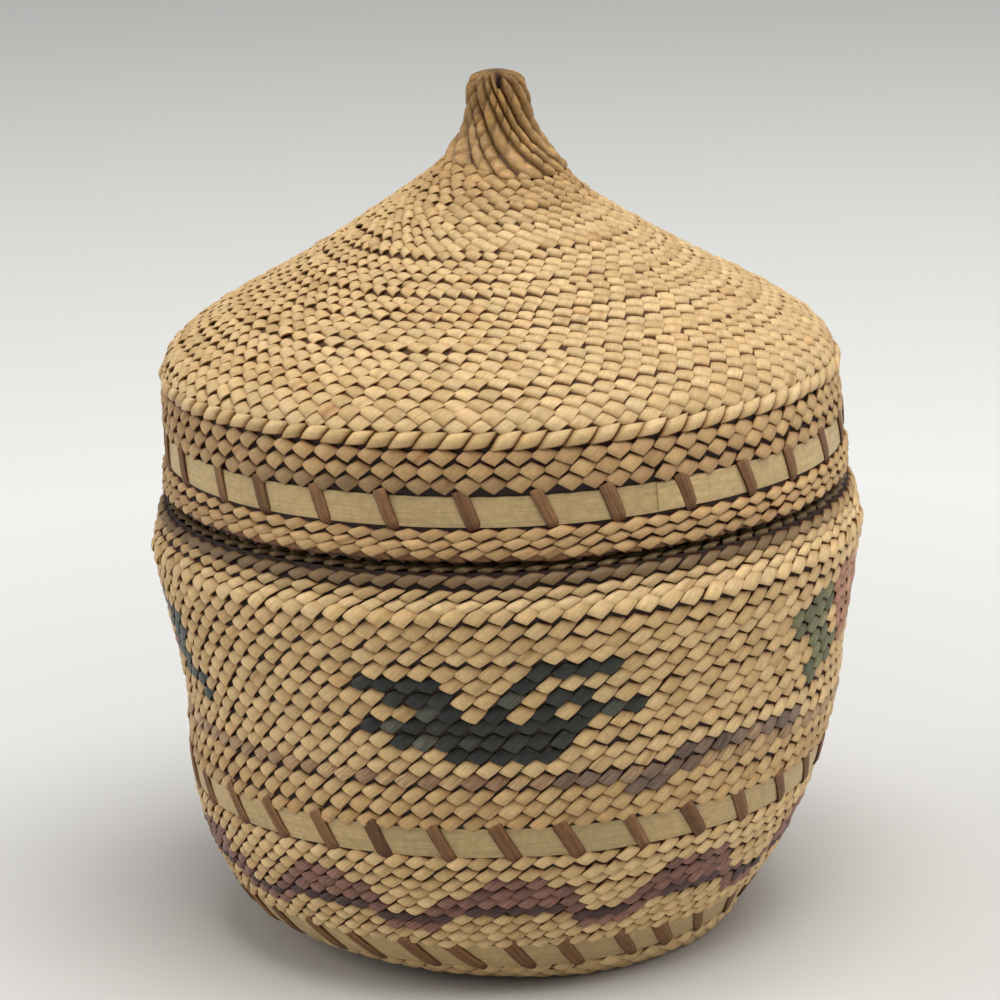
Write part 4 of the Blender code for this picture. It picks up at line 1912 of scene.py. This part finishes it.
    def build_lining(self) -> None:
        """Makes the inner face of the wall and of the base, and the warps inside both."""
        rng = np.random.default_rng(18)
        high, low = self.line.end - 1.0 * MM, self.line.at_radius(box_radius("base_plait"))
        edges = uneven(low, high, round((high - low) / self.row_height), 0.05, rng)[::-1]
        lattice = courses(
            self.line, edges, self.warp_turns, high, self.main_lean, rng, self.stitch_width
        )
        lattice = lattice.select(np.abs(lattice.length - self.ledge) > self.corner_room)
        TwinedWall(
            "body_inside", Body.BASKET, self.line, lattice, 18, FLAT_STITCHING, tints=DARKER_STRAW
        ).build_inside()
        layer = shell(self.line, low, self.line.end, (0.45 * MM, 1.05 * MM), WARPS_AND_GAP_SHADE)
        add_piece("body_warp_layer", layer, BARK_FINISH, Body.BASKET)


@dataclass
class LiftOffLid:
    """The lid, from its trimmed edge to the knob.

    Attributes:
        radius: of its lower edge.
        seat, top: heights of that edge and of the knob's tip.
        warps: how many there are.
        bar_lean, wall_lean: lean of the bars and of the upright wall's warps.
        crown_leans: share of the way from the cord to the knob, and the lean there in degrees.
        crown_widths: radius and usual width of a stitch there, in millimetres.
        crown_rows: how many courses the crown has.
        strip_middle: height of the strip's middle over the seat.
        strip_width, strip_room: width of the strip and of its gap between the courses.
        cord_width: of the thick row at the lid's shoulder.
        knob_foot: height of the knob's foot over the seat.
        stitch_width: usual width of an inner stitch.
    """

    radius: float = field(default_factory=lambda: box_radius("lid_edge"))
    seat: float = field(default_factory=lambda: box_low("lid_edge"))
    top: float = field(default_factory=lambda: box_high("lid_knob"))
    warps: int = 90
    bar_lean: float = math.radians(20)
    wall_lean: float = math.radians(38)
    crown_leans: tuple[tuple[float, float], ...] = ((0.0, 42), (0.35, 50), (0.75, 45), (1.0, 45))
    crown_widths: tuple[tuple[float, float], ...] = (
        (9, 2.0), (17.5, 2.15), (30, 2.55), (41.5, 3.0),
    )
    crown_rows: int = 35
    strip_middle: float = 5.9 * MM
    strip_width: float = 3.65 * MM
    strip_room: float = 4.2 * MM
    cord_width: float = 1.9 * MM
    knob_foot: float = 38.8 * MM
    stitch_width: float = 2.95 * MM

    def __post_init__(self) -> None:
        """Works out the outline and where its bands start and end."""
        height = self.top - self.seat
        hem = [(self.radius, self.seat - 0.2 * MM)]
        side = [(r * self.radius, self.seat + z * height) for z, r in LID_PROFILE_SHARES]
        self.line = WallLine(hem + side)
        self.strip = self.line.at_height(self.seat + self.strip_middle)
        self.cord = self.line.at_height((box_low("lid_cord") + box_high("lid_cord")) / 2)
        self.foot = self.line.at_height(self.seat + self.knob_foot)
        self.warp_turns = math.radians(-96.5) + np.arange(self.warps) * math.tau / self.warps

    def wall_lattice(self, low: float, high: float, rows: int, seed: int) -> Lattice:
        """Courses of the upright wall, whose warps run on from the bars.

        Args:
            low: where they start.
            high: where they end.
            rows: how many there are.
            seed: of the random values.

        Returns:
            The stitches.
        """
        rng = np.random.default_rng(seed)
        edges = uneven(low, high, rows, 0.05, rng)
        return courses(self.line, edges, self.warp_turns, self.strip, self.wall_lean, rng)

    def lean(self, length: float) -> float:
        """Lean of the crown's warps, from shares of the way to the knob and degrees."""
        share = (length - self.cord) / (self.foot - self.cord)
        return math.radians(float(np.interp(share, *zip(*self.crown_leans))))

    def crown_width(self, radius: float) -> float:
        """Usual width of a crown stitch at a radius, from a table in millimetres."""
        return float(np.interp(radius / MM, *zip(*self.crown_widths))) * MM

    def build(self) -> None:
        """Makes every piece of the lid."""
        strip_foot, strip_top = self.strip - self.strip_room / 2, self.strip + self.strip_room / 2
        cord_foot, cord_top = self.cord - self.cord_width / 2, self.cord + self.cord_width / 2
        skirt = self.wall_lattice(0.45 * MM, strip_foot, 3, 31)
        TwinedWall(
            "lid_skirt", Body.LID, self.line, skirt, 31, BAND_STITCHING, tints=DARKER_STRAW
        ).build(["lid_skirt"])
        self.build_hem()
        band = self.wall_lattice(strip_top, cord_foot, 3, 32)
        TwinedWall(
            "lid_band", Body.LID, self.line, band, 32, BAND_STITCHING, tints=DARKER_STRAW,
            toning=self.band_tone,
        ).build(["lid_band"])
        cord = self.wall_lattice(cord_foot, cord_top, 1, 33)
        TwinedWall(
            "lid_cord", Body.LID, self.line, cord, 33, CORD_STITCHING, CORD,
            finish=CORD_FINISH, slot=Slot.CORD,
        ).build(["lid_cord"])
        rng = np.random.default_rng(34)
        edges = uneven(cord_top, self.foot + 3.4 * MM, self.crown_rows, 0.07, rng, 0.30)
        lattice = courses(
            self.line, edges, self.warp_turns, self.strip, self.lean, rng, self.crown_width,
            waver=0.12 * MM,
        )
        knob = TwistedKnob(self.line, self.foot + 0.6 * MM)
        lattice = lattice.select(lattice.length < knob.foot(lattice.turn) + 0.5 * MM)
        low = lattice.row < ROPE_START * self.crown_rows
        TwinedWall(
            "lid_crown", Body.LID, self.line, lattice.select(low), 34, CROWN_STITCHING, BEAD,
            toning=evenly(CROWN_BRIGHTNESS),
        ).build(["lid_crown"])
        TwinedWall(
            "lid_crown_top", Body.LID, self.line, lattice.select(~low), 37, ROPE_STITCHING,
            ROPE_BEAD,
            toning=lambda part: (
                CROWN_TOP_BRIGHTNESS * self.golden(knob.foot(part.turn) - part.length)
            ),
        ).build()
        add_piece("lid_knob_ropes", knob.surface(), KNOB_FINISH, Body.LID, ["lid_knob"])
        StripBand(
            "lid", Body.LID, self.line, self.strip - 0.05 * MM, self.strip_width, 30, self.bar_lean,
            math.radians(-96.5), math.radians(-65.5), 41,
        ).build("lid_strip", "lid_warps")
        self.build_lining()

    @staticmethod
    def band_tone(lattice: Lattice) -> Array:
        """Darkens the course over the strip, most of it left of the front.

        Args:
            lattice: the band's stitches.

        Returns:
            A brightness per stitch.
        """
        away = np.mod(lattice.turn + math.radians(119) + math.pi, math.tau) - math.pi
        dimming = 0.12 + 0.38 * np.exp(-((away / math.radians(22)) ** 2))
        return np.where(lattice.row == 0, 1 - dimming, 1.0)[:, None]

    @staticmethod
    def golden(away: Array, reach: float = 9.0 * MM) -> Array:
        """How the straw turns golden brown towards the knob.

        Args:
            away: distance from the knob's foot, down the crown.
            reach: distance at which the straw has its usual colour.

        Returns:
            What each stitch's linear colour is multiplied by.
        """
        near = np.clip(1 - away / reach, 0, 1)[:, None]
        return 1 - near * (1 - linear(TwistedKnob.foot_shade) / linear(STRAW.shades[1]))

    def build_hem(self) -> None:
        """Makes the trimmed warp ends that stick out under the lid's first course."""
        rng = np.random.default_rng(35)
        edges = np.array([0.0, 1.1]) * MM
        lattice = courses(self.line, edges, self.warp_turns, self.strip, self.wall_lean, rng)
        TwinedWall(
            "lid_edge_ends", Body.LID, self.line, lattice, 35, HEM_STITCHING, BAR, BARK,
            depth=0.15 * MM, finish=BARK_FINISH, slot=Slot.BARK,
        ).build(["lid_edge"])

    def build_lining(self) -> None:
        """Makes the lid's inner face and the warps inside its wall."""
        rng = np.random.default_rng(36)
        high = self.foot - 1.0 * MM
        edges = uneven(0.1 * MM, high, round(high / (1.8 * MM)), 0.05, rng)
        lattice = courses(
            self.line, edges, self.warp_turns, 0.0, self.wall_lean, rng, self.stitch_width
        )
        TwinedWall(
            "lid_inside", Body.LID, self.line, lattice, 36, FLAT_STITCHING, tints=DARKER_STRAW
        ).build_inside()
        layer = shell(self.line, 0.1 * MM, self.cord, (0.50 * MM, 1.05 * MM), WARPS_AND_GAP_SHADE)
        add_piece("lid_warp_layer", layer, BARK_FINISH, Body.LID)
        top = self.foot + 3.0 * MM
        layer = shell(self.line, self.cord, top, (0.30 * MM, 1.05 * MM), CROWN_WARP_SHADE)
        add_piece("lid_crown_warp_layer", layer, BARK_FINISH, Body.LID)


@dataclass(frozen=True)
class Studio:
    """A pale table, soft lamps and the camera.

    Attributes:
        distance: from the camera to the point it looks at.
        pitch: how far it looks down.
        roll: how far the picture is turned, anticlockwise for the object.
        aim_height: height of that point.
        focal_pixels: focal length in pixels of the picture.
        picture_pixels: width and height of the picture.
        floor_reach: radius of the floor.
        shades: distance from the object, in metres, and the floor's screen colour there, darkest
            right next to the object as a painted shadow.
        lamps: name, place, length of side, watts and colour of each soft lamp.
        sky, sky_strength: colour and strength of the light all round.
    """

    distance: float = 495 * MM
    pitch: float = math.radians(15)
    roll: float = math.radians(1.35)
    aim_height: float = 54 * MM
    focal_pixels: float = 3911.6
    picture_pixels: float = 1000.0
    floor_reach: float = 4.0
    shades: tuple[tuple[float, Colour], ...] = (
        # painted shadow: the floor is darker right next to the object
        (0.05, (200, 199, 196)),
        (0.22, (223, 223, 221)),
        (0.80, (216, 217, 213)),
    )
    lamps: tuple[tuple[str, tuple[float, float, float], float, float, Colour], ...] = (
        ("overhead", (0.12, -0.22, 0.95), 0.65, 8.8, (1.0, 0.985, 0.96)),
        ("left", (-0.95, -0.02, 0.45), 0.6, 3.4, (1.0, 0.99, 0.97)),
        ("right", (0.95, 0.05, 0.45), 0.6, 2.9, (1.0, 0.99, 0.97)),
    )
    sky: Colour = (0.96, 0.98, 1.0)
    sky_strength: float = 0.38

    def camera(self) -> None:
        """Makes the scene's camera, which looks along +Y and down."""
        data = bpy.data.cameras.new("camera")
        data.sensor_width = 36.0
        data.lens = self.focal_pixels / self.picture_pixels * data.sensor_width
        data.clip_start, data.clip_end = 0.01, 20.0
        camera = linked("camera", data)
        back = Vector((0.0, -math.cos(self.pitch), math.sin(self.pitch)))
        camera.location = Vector((0.0, 0.0, self.aim_height)) + back * self.distance
        camera.rotation_mode = "QUATERNION"
        level = (-back).to_track_quat("-Z", "Y")
        camera.rotation_quaternion = level @ Quaternion((0, 0, 1), -self.roll)
        bpy.context.scene.camera = camera

    def lamp(self, name: str, place: Vector, size: float, power: float, shade: Colour) -> None:
        """A square soft lamp that shines at the middle of the object.

        Args:
            name: of the lamp.
            place: where it hangs.
            size: length of its side.
            power: in watts.
            shade: its colour, from 0 to 1 per channel.
        """
        data = bpy.data.lights.new(name, "AREA")
        data.size, data.energy, data.color = size, power, shade
        lamp = linked(name, data)
        lamp.location = place
        lamp.rotation_mode = "QUATERNION"
        aim = Vector((0, 0, self.aim_height)) - place
        lamp.rotation_quaternion = aim.to_track_quat("-Z", "Y")

    def floor(self) -> None:
        """Makes the table top: a disc whose shade changes away from the object, with a painted
        shadow next to it.
        """
        rings = np.array([0.0, 0.1, 0.3, 0.8, 1.6, self.floor_reach])
        turn = np.linspace(0, math.tau, 64, endpoint=False)
        radii, turns = np.meshgrid(rings, turn, indexing="ij")
        flat = np.zeros_like(radii)
        points = np.stack([radii * np.cos(turns), radii * np.sin(turns), flat], axis=-1)
        surface = Surface.grid(points, points[..., :2], points, (False, True))
        mesh = bpy.data.meshes.new("table_top")
        mesh.from_pydata(surface.points.tolist(), [], surface.quads.tolist())
        nodes = Nodes("Pale table")
        place = nodes.add("ShaderNodeTexCoord")
        distance = nodes.add("ShaderNodeVectorMath", {"operation": "LENGTH"})
        nodes.tree.links.new(place.outputs["Object"], distance.inputs[0])
        ramp = nodes.add("ShaderNodeValToRGB", Fac=distance.outputs["Value"])
        for _ in self.shades[2:]:
            ramp.color_ramp.elements.new(0.5)
        for stop, (position, shade) in zip(ramp.color_ramp.elements, self.shades):
            stop.position, stop.color = position, (*linear(shade), 1.0)
        nodes.put(nodes.shader, "Base Color", ramp.outputs["Color"])
        nodes.put(nodes.shader, "Roughness", 0.9)
        nodes.put(nodes.shader, "Specular IOR Level", 0.1)
        mesh.materials.append(nodes.material)
        linked("table_top", mesh)

    def build(self) -> None:
        """Makes the camera, the lamps, the light all round and the floor."""
        self.camera()
        self.floor()
        for name, place, size, power, shade in self.lamps:
            self.lamp(name, Vector(place), size, power, shade)
        world = bpy.data.worlds.new("soft_light")
        world.use_nodes = True
        light = world.node_tree.nodes["Background"]
        light.inputs["Color"].default_value = (*self.sky, 1.0)
        light.inputs["Strength"].default_value = self.sky_strength
        bpy.context.scene.world = world
        bpy.context.scene.view_settings.view_transform = "Standard"


def main() -> None:
    logging.basicConfig(level=logging.INFO, format="%(name)s %(message)s")
    Studio().build()
    BasketBody().build()
    LiftOffLid().build()


if __name__ == "__main__":
    main()
